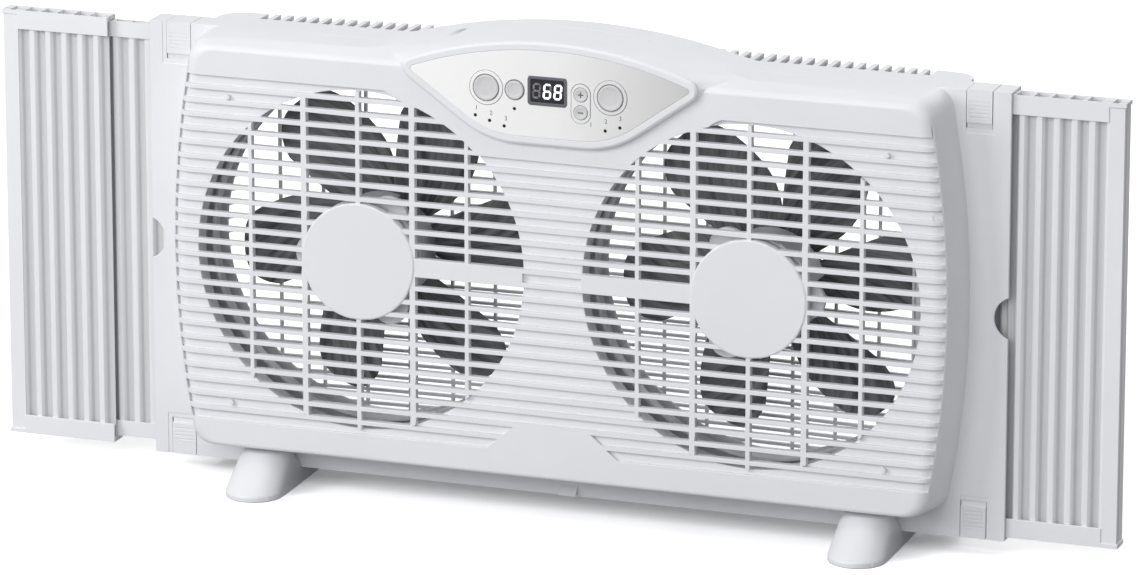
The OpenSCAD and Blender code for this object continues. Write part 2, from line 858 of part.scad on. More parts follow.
// The corrugated sheet's section: flat-topped ridges with softly bent flanks, in X and Y.
function flank(s) = s * s * (3 - 2 * s);
function wave(x, y0, y1) =
    let (p = (x / wave_pitch - floor(x / wave_pitch)) * 4)
    p < 1 ? y0 : p < 2 ? y0 + (y1 - y0) * flank(p - 1) : p < 3 ? y1 : y1 - (y1 - y0) * flank(p - 3);

module sheet(x0, x1, y0, y1, half_h) {
    step = wave_pitch / 12;
    xs = concat([x0], [for (x = [ceil(x0 / step + 0.01) * step : step : x1 - 0.3]) x], [x1]);
    front = [for (x = xs) [x, wave(x, y0, y1 - sheet_t)]];
    rear = [for (i = [len(xs) - 1 : -1 : 0]) [xs[i], wave(xs[i], y0, y1 - sheet_t) + sheet_t]];
    translate([0, 0, mid_z - half_h]) linear_extrude(height = 2 * half_h) polygon(concat(front, rear));
}

// Upper rail of an outer stage between x0 and x1: two strips and a web with a row of pockets.
module outer_rail(x0, x1) {
    top = mid_z + outer_h / 2;
    low = top - rail_h;
    web = mid_z + outer_web_z;
    block([x0, outer_y0, low], [x1, outer_y0 + rail_t, top]);
    block([x0, outer_y1 - rail_t, low], [x1, outer_y1, top]);
    difference() {
        block([x0, outer_y0 + 0.1, web], [x1, outer_y1 - 0.1, top]);
        for (x = [x0 + 4 : pocket_pitch : x1 - pocket_pitch])
            block([x, outer_y0 + rail_t, web - 1], [x + pocket_w, outer_y1 - rail_t, top + 1]);
    }
}

// Outer stage on the right side, from its inboard end x0 to its hand grip.
module outer_stage(x0) {
    x1 = x0 + stage_w;
    stile_x = x1 - stile_w;
    color(WHITE) {
        top_and_bottom() outer_rail(x0, stile_x + 0.2);
        sheet(x0, stile_x + 0.3, outer_sheet_y0, outer_sheet_y1, outer_web_z + 0.2);
        difference() {
            union() {
                block([stile_x, outer_y0 + stile_step, mid_z - outer_h / 2],
                      [x1 - stile_step, outer_y1, mid_z + outer_h / 2]);
                top_and_bottom() block([stile_x, outer_y0, mid_z + outer_web_z],
                                       [x1, outer_y1, mid_z + outer_h / 2]);
            }
            block([stile_x + 2, outer_y0 + 2 + stile_step, mid_z - outer_web_z],
                  [x1 - 2 - stile_step, outer_y1 + 1, mid_z + outer_web_z]);
            top_and_bottom() block([stile_x + 2, outer_y0 + rail_t, mid_z + outer_web_z - 1],
                                   [stile_x + 6, outer_y1 - rail_t, mid_z + outer_h / 2 + 1]);
        }
    }
}

module inner_rail(x0, x1) {
    top = mid_z + inner_h / 2;
    low = top - inner_rail_h;
    block([x0, inner_y0, low], [x1, inner_y0 + inner_rail_t, top]);
    block([x0, inner_y1 - inner_rail_t, low], [x1, inner_y1, top]);
    difference() {
        block([x0, inner_y0 + 0.1, top - rail_web], [x1, inner_y1 - 0.1, top]);
        for (x = [x0 + 6 : pocket_pitch : x1 - pocket_pitch])
            block([x, inner_y0 + inner_rail_t, top - 3], [x + pocket_w, inner_y1 - inner_rail_t, top + 1]);
    }
    block([x0, outer_y0, low], [x0 + shoe_w, outer_y1, mid_z + outer_h / 2]);
}

// Inner stage on the right side; its guide shoes fill the frame's channel at the inboard end.
module inner_stage(x0) {
    x1 = x0 + stage_w;
    half = inner_h / 2 - rail_web;
    color(WHITE) {
        top_and_bottom() inner_rail(x0, x1);
        sheet(x0, x1, inner_y0 + inner_rail_t, inner_y1 - inner_rail_t, half + 0.2);
        block([x0, inner_y0, mid_z - half], [x0 + 1.8, inner_y1, mid_z + half]);
        block([x1 - 1.8, inner_y0, mid_z - half], [x1, inner_y1, mid_z + half]);
    }
}

// ---------------------------------------------------------------- locks, feet, fasteners

// Corner lock at the top right: a grip pad, a tongue behind the frame's wall and a plate over the rails.
module top_lock() {
    z1 = frame_h;
    color(WHITE) difference() {
        union() {
            block([lock_x0, front_y, z1 - lock_pad_h], [lock_x0 + lock_w, lock_pad_y1, z1]);
            block([lock_x0, lock_rebate_y + 0.1, z1 - lock_pad_h - lock_travel - lock_tongue],
                  [lock_x0 + lock_w, lock_pad_y1, z1]);
            block([lock_x0, front_y, z1 - frame_edge], [lock_x0 + lock_w, back_y, z1]);
        }
        for (i = [0 : 4])
            translate([0, 0, z1 - 18.6 + 2.6 * i])
                block([lock_x0 + 2, front_y - 1, 0], [lock_x0 + lock_w - 2, front_y + 0.5, 0.7]);
    }
}

// Foot on the right side: a runner under the frame with a round column before it.
module foot() {
    r = foot_w / 2;
    color(WHITE) difference() {
        union() {
            translate([foot_x, 0, 0]) hull() {
                translate([0, foot_front + r, -foot_h]) cylinder(r = r, h = 4, $fn = 40);
                translate([0, face_y + r + 1, foot_top - 7]) cylinder(r = r - 1.5, h = 0.1, $fn = 40);
                translate([0, face_y + r + 3.5, foot_top - 2]) cylinder(r = r - 4, h = 0.1, $fn = 40);
                translate([0, face_y + r + 5, foot_top - 0.1]) cylinder(r = r - 8, h = 0.1, $fn = 40);
                block([-r + 0.5, front_y - 1, -foot_h], [r - 0.5, front_y - 0.3, foot_seat]);
            }
            translate([foot_x, 0, 0]) hull() {
                translate([0, foot_front + r, -foot_h]) cylinder(r = r, h = 3, $fn = 40);
                block([-r + 2, foot_back - 6, -foot_h], [r - 2, foot_back - 4, -foot_h + 3]);
                block([-r + 5, foot_back - 2, -foot_h], [r - 5, foot_back, -foot_h + 2]);
                block([-r + 1.5, front_y, -foot_h], [r - 1.5, back_y + 6, foot_seat]);
            }
            block([foot_x - r + 5, back_y + 2.7, -2], [foot_x + r - 5, back_y + 5.7, 1.5]);
        }
        block([foot_x - r - 1, front_y - 0.3, foot_seat], [foot_x + r + 1, back_y + 2.7, 40]);
        translate([foot_x, foot_screw_y, -foot_h - 1]) cylinder(r = 1.8, h = 60);
        translate([foot_x, foot_screw_y, -foot_h - 1]) cylinder(r = 3.6, h = 6);
    }
}

// Grommet where the supply cord would leave the cover's underside.
module cord_gland() {
    z = face_z0 - base_drop;
    color([0.2, 0.2, 0.2]) translate([gland_x, gland_y, 0]) difference() {
        union() {
            translate([0, 0, z - 2]) cylinder(r = 7, h = 2.4);
            translate([0, 0, z - 1]) cylinder(r = gland_r - 0.1, h = 8);
        }
        translate([0, 0, z - 5]) cylinder(r = 3, h = 20);
    }
}

module cover_screws() {
    color(STEEL) for (p = cover_screws) both_sides() at(p) screw(channel_y0, 14, 1.55, 3.2, 1.7);
}

module grille_screws() {
    color(STEEL) for (p = basket_screws) both_sides() at(p) screw(back_y + 2.4, 9, 1.35, 3, 1.6);
}

module motor_screws() {
    color(STEEL) for (side = [-1, 1]) at_fan(side) for (i = [0 : 2])
        rotate([0, lobe_turn(side) - 120 * i, 0]) translate([screw_at_r, 0, 0])
            screw(motor_y0 + 4, 9, 1.35, 3, 1.6);
}

module board_screws() {
    color(STEEL) for (p = board_posts) both_sides() at(p) screw(board_y + board_t, 5.5, 0.95, 2, 1.2);
}

module foot_screws() {
    color(STEEL) both_sides() translate([foot_x, foot_screw_y, 0]) {
        translate([0, 0, -foot_h + 5]) cylinder(r = 1.4, h = foot_h - 5 + frame_edge - 0.1);
        translate([0, 0, -foot_h + 3]) cylinder(r = 3, h = 2);
    }
}

// ---------------------------------------------------------------- assembly

main_frame();
front_cover();
rear_grille();
control_lens();
display_window();
display_module();
control_board();
led_pipes();
button(left_button_at, big_r);  // left_button
button(small_button_at, small_r);  // small_button
button(plus_button_at, step_r);  // plus_button
button(minus_button_at, step_r);  // minus_button
button(right_button_at, big_r);  // right_button
mirror([1, 0, 0]) top_lock();  // left_top_lock
mirror([1, 0, 0]) turned_over() top_lock();  // left_bottom_lock
top_lock();  // right_top_lock
turned_over() top_lock();  // right_bottom_lock
motor_housing(-1);  // left_motor_housing
motor_housing(1);  // right_motor_housing
stator(-1);  // left_stator
stator(1);  // right_stator
rotor_shaft(-1);  // left_rotor_shaft
rotor_shaft(1);  // right_rotor_shaft
bearings(-1);  // left_bearings
bearings(1);  // right_bearings
impeller(-1);  // left_impeller
impeller(1);  // right_impeller
impeller_nut(-1);  // left_impeller_nut
impeller_nut(1);  // right_impeller_nut
mirror([1, 0, 0]) inner_stage(left_inner_x);  // left_inner_panel
mirror([1, 0, 0]) outer_stage(left_reach - stage_w);  // left_outer_panel
inner_stage(right_inner_x);  // right_inner_panel
outer_stage(right_reach - stage_w);  // right_outer_panel
mirror([1, 0, 0]) foot();  // left_foot
foot();  // right_foot
cord_gland();
cover_screws();
grille_screws();
motor_screws();
board_screws();
foot_screws();
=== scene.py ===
"""Looks of a twin window fan: satin white plastic, a silvery control panel, dark blades and bright screws."""

import json
import logging
import math
from collections.abc import Iterator
from contextlib import contextmanager
from dataclasses import dataclass, field
from enum import Enum

import bmesh
import bpy
import numpy as np
from mathutils import Matrix, Vector
from mathutils.kdtree import KDTree

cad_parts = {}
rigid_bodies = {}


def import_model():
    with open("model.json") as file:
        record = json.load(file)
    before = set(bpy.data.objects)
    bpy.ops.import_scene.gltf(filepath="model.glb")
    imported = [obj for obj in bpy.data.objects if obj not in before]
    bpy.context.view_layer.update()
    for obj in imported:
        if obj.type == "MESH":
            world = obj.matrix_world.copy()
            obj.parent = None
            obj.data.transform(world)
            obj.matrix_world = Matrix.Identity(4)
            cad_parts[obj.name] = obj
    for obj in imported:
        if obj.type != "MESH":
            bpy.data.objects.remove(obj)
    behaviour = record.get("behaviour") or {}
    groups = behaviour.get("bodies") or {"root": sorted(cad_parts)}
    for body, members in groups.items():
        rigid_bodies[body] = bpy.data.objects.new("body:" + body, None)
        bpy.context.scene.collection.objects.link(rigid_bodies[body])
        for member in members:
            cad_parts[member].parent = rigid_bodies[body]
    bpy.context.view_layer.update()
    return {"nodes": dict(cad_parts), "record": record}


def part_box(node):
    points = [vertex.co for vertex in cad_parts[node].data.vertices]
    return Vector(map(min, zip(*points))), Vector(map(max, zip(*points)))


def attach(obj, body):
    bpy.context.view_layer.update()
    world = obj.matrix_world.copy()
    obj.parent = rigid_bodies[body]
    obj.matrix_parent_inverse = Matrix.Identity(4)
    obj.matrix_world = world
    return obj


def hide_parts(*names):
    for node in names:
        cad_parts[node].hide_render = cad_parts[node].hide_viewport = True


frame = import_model()

log = logging.getLogger("window_fan")
MM = 0.001
FAN_HEIGHT = 158.9
FAN_OFFSET = 137.0
# In metres: the depths of the grain, and the gap that welding closes.
BUMP_DEPTH = 0.00003
FINE_DEPTH = 0.00002
SEAM = 0.000002
# In millimetres and degrees: where corners have less room than this, their edges stay sharp.
SMALLEST_EDGE = 0.12
SHARPEST_CORNER = 15.0
# The share of the nearest corner's room that a round may take.
ROOM_SHARE = 0.4
# In widths of the round: how far about a folded corner the edges are made sharp, try after try.
SPARED_REACHES = (1.2, 1.8, 2.7, 4.0, 8.0, 16.0)

Colour = tuple[float, float, float]
Place = tuple[float, float, float]
Point = tuple[float, float]
Faces = list[tuple[int, ...]]
Mesh = bpy.types.Mesh
Material = bpy.types.Material
Socket = bpy.types.NodeSocket
Object = bpy.types.Object


class Body(Enum):
    """The bodies of the frame that pieces ride on."""

    HOUSING = "housing"
    LEFT_FAN = "left_fan"
    RIGHT_FAN = "right_fan"
    LEFT_INNER = "left_inner"
    LEFT_OUTER = "left_outer"
    RIGHT_INNER = "right_inner"
    RIGHT_OUTER = "right_outer"


class Slot(Enum):
    """The record's material slots for white plastic, the lens, the display, dark indicators, blades and
    screws.
    """

    WHITE = "white_plastic"
    LENS = "silver_lens"
    DISPLAY = "display_black"
    DARK = "indicator_dark"
    BLADE = "blade_grey"
    SCREW = "screw_steel"


# ------------------------------------------------------------------ node trees


class Nodes:
    """A node tree with short calls for the nodes that materials, surroundings and parts use."""

    def __init__(self, tree: bpy.types.NodeTree) -> None:
        """Takes a tree over and empties it."""
        self.tree = tree
        self.tree.nodes.clear()

    def node(self, kind: str, settings: dict[str, str] | None = None, **values: object) -> bpy.types.Node:
        """Adds a node.

        Args:
            kind: The node's type name.
            settings: Properties that choose the node's mode.
            values: Inputs by name, with underscores for spaces; a socket is linked, anything else is set.

        Returns:
            The new node.
        """
        made = self.tree.nodes.new(kind)
        for name, value in (settings or {}).items():
            setattr(made, name, value)
        for name, value in values.items():
            self.feed(made.inputs[name.replace("_", " ")], value)
        return made

    def feed(self, socket: Socket, value: object) -> None:
        """Links a socket to another, or sets its value.

        Args:
            socket: The input.
            value: The socket that it is linked to, or a plain value.
        """
        if isinstance(value, Socket):
            self.tree.links.new(value, socket)
        else:
            socket.default_value = value

    def math(self, operation: str, a: object, b: object = 0.0) -> Socket:
        """Adds one operation on two numbers.

        Args:
            operation: The Math node's operation.
            a: The first number or socket.
            b: The second number or socket.

        Returns:
            The result's socket.
        """
        made = self.node("ShaderNodeMath", {"operation": operation})
        self.feed(made.inputs[0], a)
        self.feed(made.inputs[1], b)
        return made.outputs[0]

    def mix(self, factor: Socket, a: object, b: object) -> Socket:
        """Mixes two colours.

        Args:
            factor: The second colour's share.
            a: The first colour or socket.
            b: The second colour or socket.

        Returns:
            The mixed colour's socket.
        """
        made = self.node("ShaderNodeMix", {"data_type": "RGBA"}, Factor=factor)
        for socket, colour in ((made.inputs[6], a), (made.inputs[7], b)):
            self.feed(socket, (*colour, 1.0) if isinstance(colour, tuple) else colour)
        return made.outputs[2]


class Shading(Nodes):
    """The node tree of a new material with a Principled surface."""

    def __init__(self, name: str) -> None:
        """Starts the material.

        Args:
            name: The material's name.
        """
        self.material = bpy.data.materials.new(name)
        self.material.use_nodes = True
        super().__init__(self.material.node_tree)
        self.surface = self.node("ShaderNodeBsdfPrincipled")
        self.node("ShaderNodeOutputMaterial", Surface=self.surface.outputs["BSDF"])
        self.coordinates = self.node("ShaderNodeTexCoord").outputs["Object"]

    def set(self, **values: object) -> None:
        """Sets or links the surface's inputs.

        Args:
            values: Values or sockets by the input's name, with underscores for spaces.
        """
        for name, value in values.items():
            plain_colour = isinstance(value, tuple) and len(value) == 3
            self.feed(self.surface.inputs[name.replace("_", " ")], (*value, 1.0) if plain_colour else value)

    def axis(self, name: str) -> Socket:
        """Returns one of the piece's own coordinates, in metres."""
        return self.node("ShaderNodeSeparateXYZ", Vector=self.coordinates).outputs[name]

    def noise(
        self, scale: float, detail: float = 2.0, roughness: float = 0.5, place: Socket | None = None
    ) -> Socket:
        """Adds a noise pattern.

        Args:
            scale: Features per metre of the piece.
            detail: Octaves of finer noise.
            roughness: How strong the finer octaves are.
            place: Coordinates to use in place of the piece's own.

        Returns:
            The pattern's value.
        """
        made = self.node("ShaderNodeTexNoise", Vector=place or self.coordinates, Scale=scale)
        made.inputs["Detail"].default_value = detail
        made.inputs["Roughness"].default_value = roughness
        return made.outputs["Fac"]

    def spread(self, value: Socket, low: float, high: float, start: float = 0.3, end: float = 0.7) -> Socket:
        """Returns a value with the range from start to end turned into that from low to high."""
        ends = {"From_Min": start, "From_Max": end, "To_Min": low, "To_Max": high}
        return self.node("ShaderNodeMapRange", Value=value, **ends).outputs["Result"]

    def bump(self, height: Socket, strength: float, depth: float, under: Socket | None = None) -> Socket:
        """Bends the normal by a height pattern.

        Args:
            height: The pattern.
            strength: How much of it counts.
            depth: Its depth in metres.
            under: A normal that is already bent.

        Returns:
            The bent normal.
        """
        made = self.node("ShaderNodeBump", Height=height, Strength=strength, Distance=depth)
        if under is not None:
            self.feed(made.inputs["Normal"], under)
        return made.outputs["Normal"]


# ------------------------------------------------------------------ finishes


@dataclass(frozen=True)
class MouldedPlastic:
    """Satin injection-moulded plastic: fine eroded grain, faint flow mottle and rubbed spots.

    With `groove`, the depths in millimetres where a groove's wall and its floor begin, the colour turns to a
    painted shade between them, standing in for the shade in the troughs, and back to its own colour behind
    the sheet.
    """

    name: str
    colour: Colour
    shade: Colour
    roughness: float = 0.44
    grain: float = 1500.0
    grain_strength: float = 0.18
    groove: Point | None = None
    trough_painted_shade: Colour = (0.6, 0.605, 0.618)
    groove_back: Point = (1.6, 2.0)

    def material(self) -> Material:
        """Returns the material."""
        s = Shading(self.name)
        colour = s.mix(s.spread(s.noise(14.0, 4.0, 0.6), 0.0, 1.0, 0.35, 0.65), self.colour, self.shade)
        # Painted shade: a darker tone by depth in the corrugation's troughs, where shade falls.
        if self.groove:
            top, floor = (y * MM for y in self.groove)
            start, end = (floor + y * MM for y in self.groove_back)
            depth = s.axis("Y")
            inside, behind = s.spread(depth, 0.0, 1.0, top, floor), s.spread(depth, 1.0, 0.0, start, end)
            colour = s.mix(s.math("MULTIPLY", inside, behind), colour, self.trough_painted_shade)
        sink = s.bump(s.noise(38.0), self.grain_strength * 0.5, BUMP_DEPTH)
        s.set(
            Base_Color=colour,
            Roughness=s.spread(s.noise(42.0, 5.0, 0.65), self.roughness - 0.06, self.roughness + 0.05),
            Normal=s.bump(s.noise(self.grain), self.grain_strength, BUMP_DEPTH, sink),
            Specular_IOR_Level=0.45,
        )
        return s.material


@dataclass(frozen=True)
class PearlLacquer:
    """Silvery lacquer under a clear coat, with a painted reflection that makes it lighter at one end than at
    the other.
    """

    name: str
    light: Colour
    middle: Colour
    dark: Colour
    flake: Colour = (0.95, 0.95, 0.96)
    half_width: float = 0.115
    middle_at: float = 0.52

    def material(self) -> Material:
        """Returns the material."""
        s = Shading(self.name)
        # Painted reflection: the colour runs from light to dark across X, as light falls on the lens.
        share = s.spread(s.axis("X"), 0.0, 1.0, -self.half_width, self.half_width)
        painted_sheen_ramp = s.node("ShaderNodeValToRGB", Fac=share)
        stops = painted_sheen_ramp.color_ramp.elements
        stops[0].color = (*self.light, 1.0)
        stops[1].color = (*self.dark, 1.0)
        stops.new(self.middle_at).color = (*self.middle, 1.0)
        sparkle = s.spread(s.noise(5200.0, 1.0), 0.0, 0.12, 0.55, 0.75)
        s.set(
            Base_Color=s.mix(sparkle, painted_sheen_ramp.outputs["Color"], self.flake),
            Roughness=s.spread(s.noise(60.0, 4.0), 0.3, 0.38),
            Normal=s.bump(s.noise(900.0), 0.06, FINE_DEPTH),
            Metallic=0.05,
            Coat_Weight=0.35,
            Coat_Roughness=0.18,
        )
        return s.material


@dataclass(frozen=True)
class BareMetal:
    """Drawn or turned metal with fine marks and dulled patches."""

    name: str
    colour: Colour
    dull: Colour
    roughness: float = 0.32

    def material(self) -> Material:
        """Returns the material."""
        s = Shading(self.name)
        s.set(
            Base_Color=s.mix(s.spread(s.noise(180.0, 4.0), 0.0, 1.0), self.colour, self.dull),
            Roughness=s.spread(s.noise(420.0, 3.0), self.roughness - 0.07, self.roughness + 0.12),
            Normal=s.bump(s.noise(2600.0), 0.12, FINE_DEPTH),
            Metallic=1.0,
        )
        return s.material


@dataclass(frozen=True)
class BladePlastic:
    """Grey glossy polypropylene with lighter and darker slanting streaks that run from hub to tip."""

    name: str
    colour: Colour
    streak: Colour
    roughness: float = 0.36
    axis_x: float = FAN_OFFSET * MM
    axis_z: float = FAN_HEIGHT * MM
    per_turn: float = 9.0
    slant: float = 60.0
    per_metre: float = 14.0

    def material(self) -> Material:
        """Returns the material."""
        s = Shading(self.name)
        across = s.math("SUBTRACT", s.math("ABSOLUTE", s.axis("X")), self.axis_x)
        up = s.math("SUBTRACT", s.axis("Z"), self.axis_z)
        turn = s.math("MULTIPLY", s.math("ARCTAN2", up, across), self.per_turn)
        out = s.math("SQRT", s.math("ADD", s.math("MULTIPLY", across, across), s.math("MULTIPLY", up, up)))
        slanted = s.math("ADD", turn, s.math("MULTIPLY", out, self.slant))
        along = s.math("MULTIPLY", out, self.per_metre)
        lines = s.noise(1.3, 5.0, 0.6, s.node("ShaderNodeCombineXYZ", X=slanted, Y=along).outputs[0])
        s.set(
            Base_Color=s.mix(s.spread(lines, 0.0, 1.0, 0.36, 0.66), self.colour, self.streak),
            Roughness=s.spread(lines, self.roughness - 0.06, self.roughness + 0.08),
            Normal=s.bump(s.noise(900.0, 3.0), 0.08, BUMP_DEPTH, s.bump(lines, 0.15, 2 * BUMP_DEPTH)),
            Specular_IOR_Level=0.5,
        )
        return s.material


@dataclass(frozen=True)
class DisplayGlass:
    """Smoked window of the display, glossy with a few fine wipe marks."""

    name: str
    colour: Colour
    wiped: Colour = (0.012, 0.012, 0.02)

    def material(self) -> Material:
        """Returns the material."""
        s = Shading(self.name)
        s.set(
            Base_Color=s.mix(s.spread(s.noise(300.0, 3.0), 0.0, 1.0), self.colour, self.wiped),
            Roughness=s.spread(s.noise(90.0, 4.0), 0.1, 0.2),
            Specular_IOR_Level=0.5,
            Coat_Weight=0.4,
        )
        return s.material


@dataclass(frozen=True)
class LitSegment:
    """A segment of a digit, lit or dark."""

    name: str
    colour: Colour
    glow: float
    haze: Colour = (0.9, 0.9, 1.0)

    def material(self) -> Material:
        """Returns the material."""
        s = Shading(self.name)
        s.set(
            Base_Color=s.mix(s.spread(s.noise(900.0), 0.0, 0.3), self.colour, self.haze),
            Roughness=0.4,
            Emission_Color=self.colour,
            Emission_Strength=self.glow,
        )
        return s.material


def plastic(name: str, *values: object) -> Material:
    """Returns a moulded plastic's material; the values are those of MouldedPlastic, in order."""
    return MouldedPlastic(name, *values).material()


def grey(level: float, blue: float = 0.0) -> Colour:
    """Returns a grey with some more blue."""
    return level, level, level + blue


class Finishes:
    """Every finish of the fan, built once."""

    def __init__(self) -> None:
        """Builds the materials."""
        self.white = plastic("white_satin_plastic", (0.80, 0.808, 0.836), (0.778, 0.786, 0.814))
        ribbed = (0.82, 0.828, 0.845), (0.80, 0.808, 0.826), 0.5, 1100.0, 0.12
        # The panels' plastics carry painted shade in the troughs of their corrugation.
        self.stages = {
            stage: plastic(stage + "_stage_plastic", *ribbed, groove)
            for stage, groove in (("inner", (1.2, 2.4)), ("outer", (-4.9, -3.6)))
        }
        # The lens's lacquer carries a painted reflection, light at one end and dark at the other.
        self.lens = PearlLacquer("silver_lens_lacquer", grey(0.97), grey(0.88), grey(0.55)).material()
        self.line = plastic("silver_ring_shadow", grey(0.2, 0.005), grey(0.25, 0.005), 0.4, 2200.0, 0.08)
        self.cap = plastic("silver_cap_plastic", grey(0.66, 0.01), grey(0.62, 0.01), 0.34, 2200.0, 0.1)
        self.bezel = plastic("display_bezel_grey", grey(0.13, 0.02), grey(0.11, 0.02), 0.38, 1800.0, 0.1)
        self.ink = plastic("printed_ink", grey(0.09, 0.01), grey(0.12, 0.01), 0.5, 3000.0, 0.05)
        self.glass = DisplayGlass("display_glass", grey(0.004, 0.003)).material()
        self.lit = LitSegment("digit_lit", (0.86, 0.88, 1.0), 1.0).material()
        self.unlit = LitSegment("digit_unlit", grey(0.03, 0.006), 0.0).material()
        self.indicator = plastic("indicator_dark", grey(0.012, 0.002), grey(0.02, 0.002), 0.25, 1500.0, 0.05)
        self.board = plastic("board_lacquer", (0.02, 0.16, 0.07), (0.015, 0.12, 0.055), 0.35, 400.0, 0.2)
        self.rubber = plastic("grommet_rubber", grey(0.028, 0.002), grey(0.045, 0.003), 0.72, 900.0, 0.35)
        self.blade = BladePlastic("blade_polypropylene", (0.07, 0.072, 0.076), (0.3, 0.305, 0.315)).material()
        self.steel = BareMetal("zinc_plated_steel", (0.62, 0.63, 0.66), (0.42, 0.43, 0.45)).material()
        self.lamination = BareMetal("lamination_steel", (0.38, 0.39, 0.41), grey(0.24, 0.02), 0.42).material()
        self.bronze = BareMetal("sintered_bronze", (0.56, 0.36, 0.16), (0.36, 0.22, 0.1), 0.4).material()


# ------------------------------------------------------------------ meshes


def new_object(name: str, data: bpy.types.ID) -> Object:
    """Adds an object to the scene.

    Args:
        name: The object's name.
        data: What it shows.

    Returns:
        The new object.
    """
    made = bpy.data.objects.new(name, data)
    bpy.context.scene.collection.objects.link(made)
    return made


def evaluated(piece: Object) -> Object:
    """Returns an object as it looks with its modifiers."""
    return piece.evaluated_get(bpy.context.evaluated_depsgraph_get())


@contextmanager
def edited(mesh: Mesh, source: Mesh | None = None) -> Iterator[bmesh.types.BMesh]:
    """Opens a mesh for edits and writes them back.

    Args:
        mesh: The mesh that the edits are written to.
        source: The mesh that they start from, if it is another.

    Yields:
        The mesh under work.
    """
    work = bmesh.new()
    work.from_mesh(source or mesh)
    yield work
    work.to_mesh(mesh)
    work.free()


def new_corners(work: bmesh.types.BMesh, places: list[Place]) -> list[bmesh.types.BMVert]:
    """Returns new corners of a mesh under work, at places in millimetres."""
    return [work.verts.new(Vector(place) * MM) for place in places]


def mesh_of(name: str, points: list[Place], faces: Faces, merge: float = 1e-6) -> Mesh:
    """Makes a mesh with merged doubles and outward faces.

    Args:
        name: The mesh's name.
        points: Corners in millimetres in the fan's frame.
        faces: Faces as corner numbers.
        merge: Corners nearer than this, in metres, become one.

    Returns:
        The mesh, in metres.
    """
    mesh = bpy.data.meshes.new(name)
    mesh.from_pydata([tuple(float(c) * MM for c in p) for p in points], [], faces)
    with edited(mesh) as work:
        bmesh.ops.remove_doubles(work, verts=work.verts, dist=merge)
        bmesh.ops.dissolve_degenerate(work, edges=work.edges, dist=merge * 0.5)
        bmesh.ops.recalc_face_normals(work, faces=work.faces)
    return mesh


def loop_faces(loops: int, size: int) -> Faces:
    """Returns the faces between closed loops with `size` corners each, of which the last joins the first."""
    return [
        (k * size + i, k * size + j, (k + 1) % loops * size + j, (k + 1) % loops * size + i)
        for k in range(loops)
        for i, j in pairs(list(range(size)))
    ]


def loft(name: str, loops: list[list[Place]]) -> Mesh:
    """Returns the closed skin through loops of corners, of which the last joins the first."""
    return mesh_of(name, [place for loop in loops for place in loop], loop_faces(len(loops), len(loops[0])))


def lathe(name: str, profile: list[Point], centre: Point = (0.0, 0.0), steps: int = 64) -> Mesh:
    """Turns a closed profile about an axis along Y.

    Args:
        name: The mesh's name.
        profile: Radius and depth of each corner, in order round the section.
        centre: The axis in X and Z.
        steps: Steps in a turn.

    Returns:
        The closed mesh.
    """
    (cx, cz), n = centre, len(profile)
    turns = [2 * math.pi * i / steps for i in range(steps)]
    points = [(cx + r * math.cos(t), y, cz + r * math.sin(t)) for t in turns for r, y in profile]
    off_axis = [f for f in loop_faces(steps, n) if profile[f[0] % n][0] > 0 or profile[f[1] % n][0] > 0]
    return mesh_of(name, points, off_axis)


def pairs(loop: list) -> list[tuple]:
    """Returns each item of a closed loop with the next one."""
    return list(zip(loop, loop[1:] + loop[:1]))


def rounded_box(half_w: float, half_h: float, radius: float, steps: int = 5) -> list[Point]:
    """Makes a rectangle with round corners about the origin.

    Args:
        half_w: Half its width.
        half_h: Half its height.
        radius: Its corners' radius.
        steps: Steps in each round.

    Returns:
        The outline.
    """
    w, h, outline = half_w - radius, half_h - radius, []
    for quarter, (x, z) in enumerate(((-w, -h), (w, -h), (w, h), (-w, h))):
        for k in range(steps + 1):
            a = math.pi / 2 * (quarter + 2 + k / steps)
            outline.append((x + radius * math.cos(a), z + radius * math.sin(a)))
    return outline


def cross(arm: float, half: float) -> list[Point]:
    """Returns the outline of a cross with four equal arms of a length and a half width."""
    quarter = [(-half, -arm), (half, -arm), (half, -half), (arm, -half), (arm, half), (half, half)]
    return quarter + [(-x, -z) for x, z in quarter]


def moved(outline: list[Point], by: Point) -> list[Point]:
    """Returns an outline shifted in X and Z."""
    return [(by[0] + x, by[1] + z) for x, z in outline]


def plate(name: str, outline: list[Point], y0: float, y1: float) -> Mesh:
    """Makes a flat plate.

    Args:
        name: The mesh's name.
        outline: Its outline in X and Z.
        y0: The depth of its front.
        y1: The depth of its back.

    Returns:
        The closed mesh.
    """
    n = len(outline)
    points = [(x, y, z) for y in (y0, y1) for x, z in outline]
    faces: Faces = [tuple(range(n)), tuple(range(2 * n - 1, n - 1, -1))]
    faces += [(i, n + i, n + (i + 1) % n, (i + 1) % n) for i in range(n)]
    return mesh_of(name, points, faces)


def joined(name: str, meshes: list[Mesh]) -> Mesh:
    """Puts meshes together.

    Args:
        name: The new mesh's name.
        meshes: The meshes.

    Returns:
        One mesh that holds them all.
    """
    out = bpy.data.meshes.new(name)
    with edited(out) as work:
        for mesh in meshes:
            work.from_mesh(mesh)
    return out


def welded_copy(node: str, flat: float = 0.6) -> Mesh:
    """Copies a node's mesh with its loose triangles merged into plain faces.

    Args:
        node: The CAD node.
        flat: Faces that lie flatter than this, in degrees, become one.

    Returns:
        The merged copy.
    """
    mesh = bpy.data.meshes.new(node + "_moulded")
    with edited(mesh, frame["nodes"][node].data) as work:
        bmesh.ops.remove_doubles(work, verts=work.verts, dist=SEAM)
        bmesh.ops.dissolve_limit(work, angle_limit=math.radians(flat), verts=work.verts, edges=work.edges)
    return mesh


# ------------------------------------------------------------------ geometry nodes


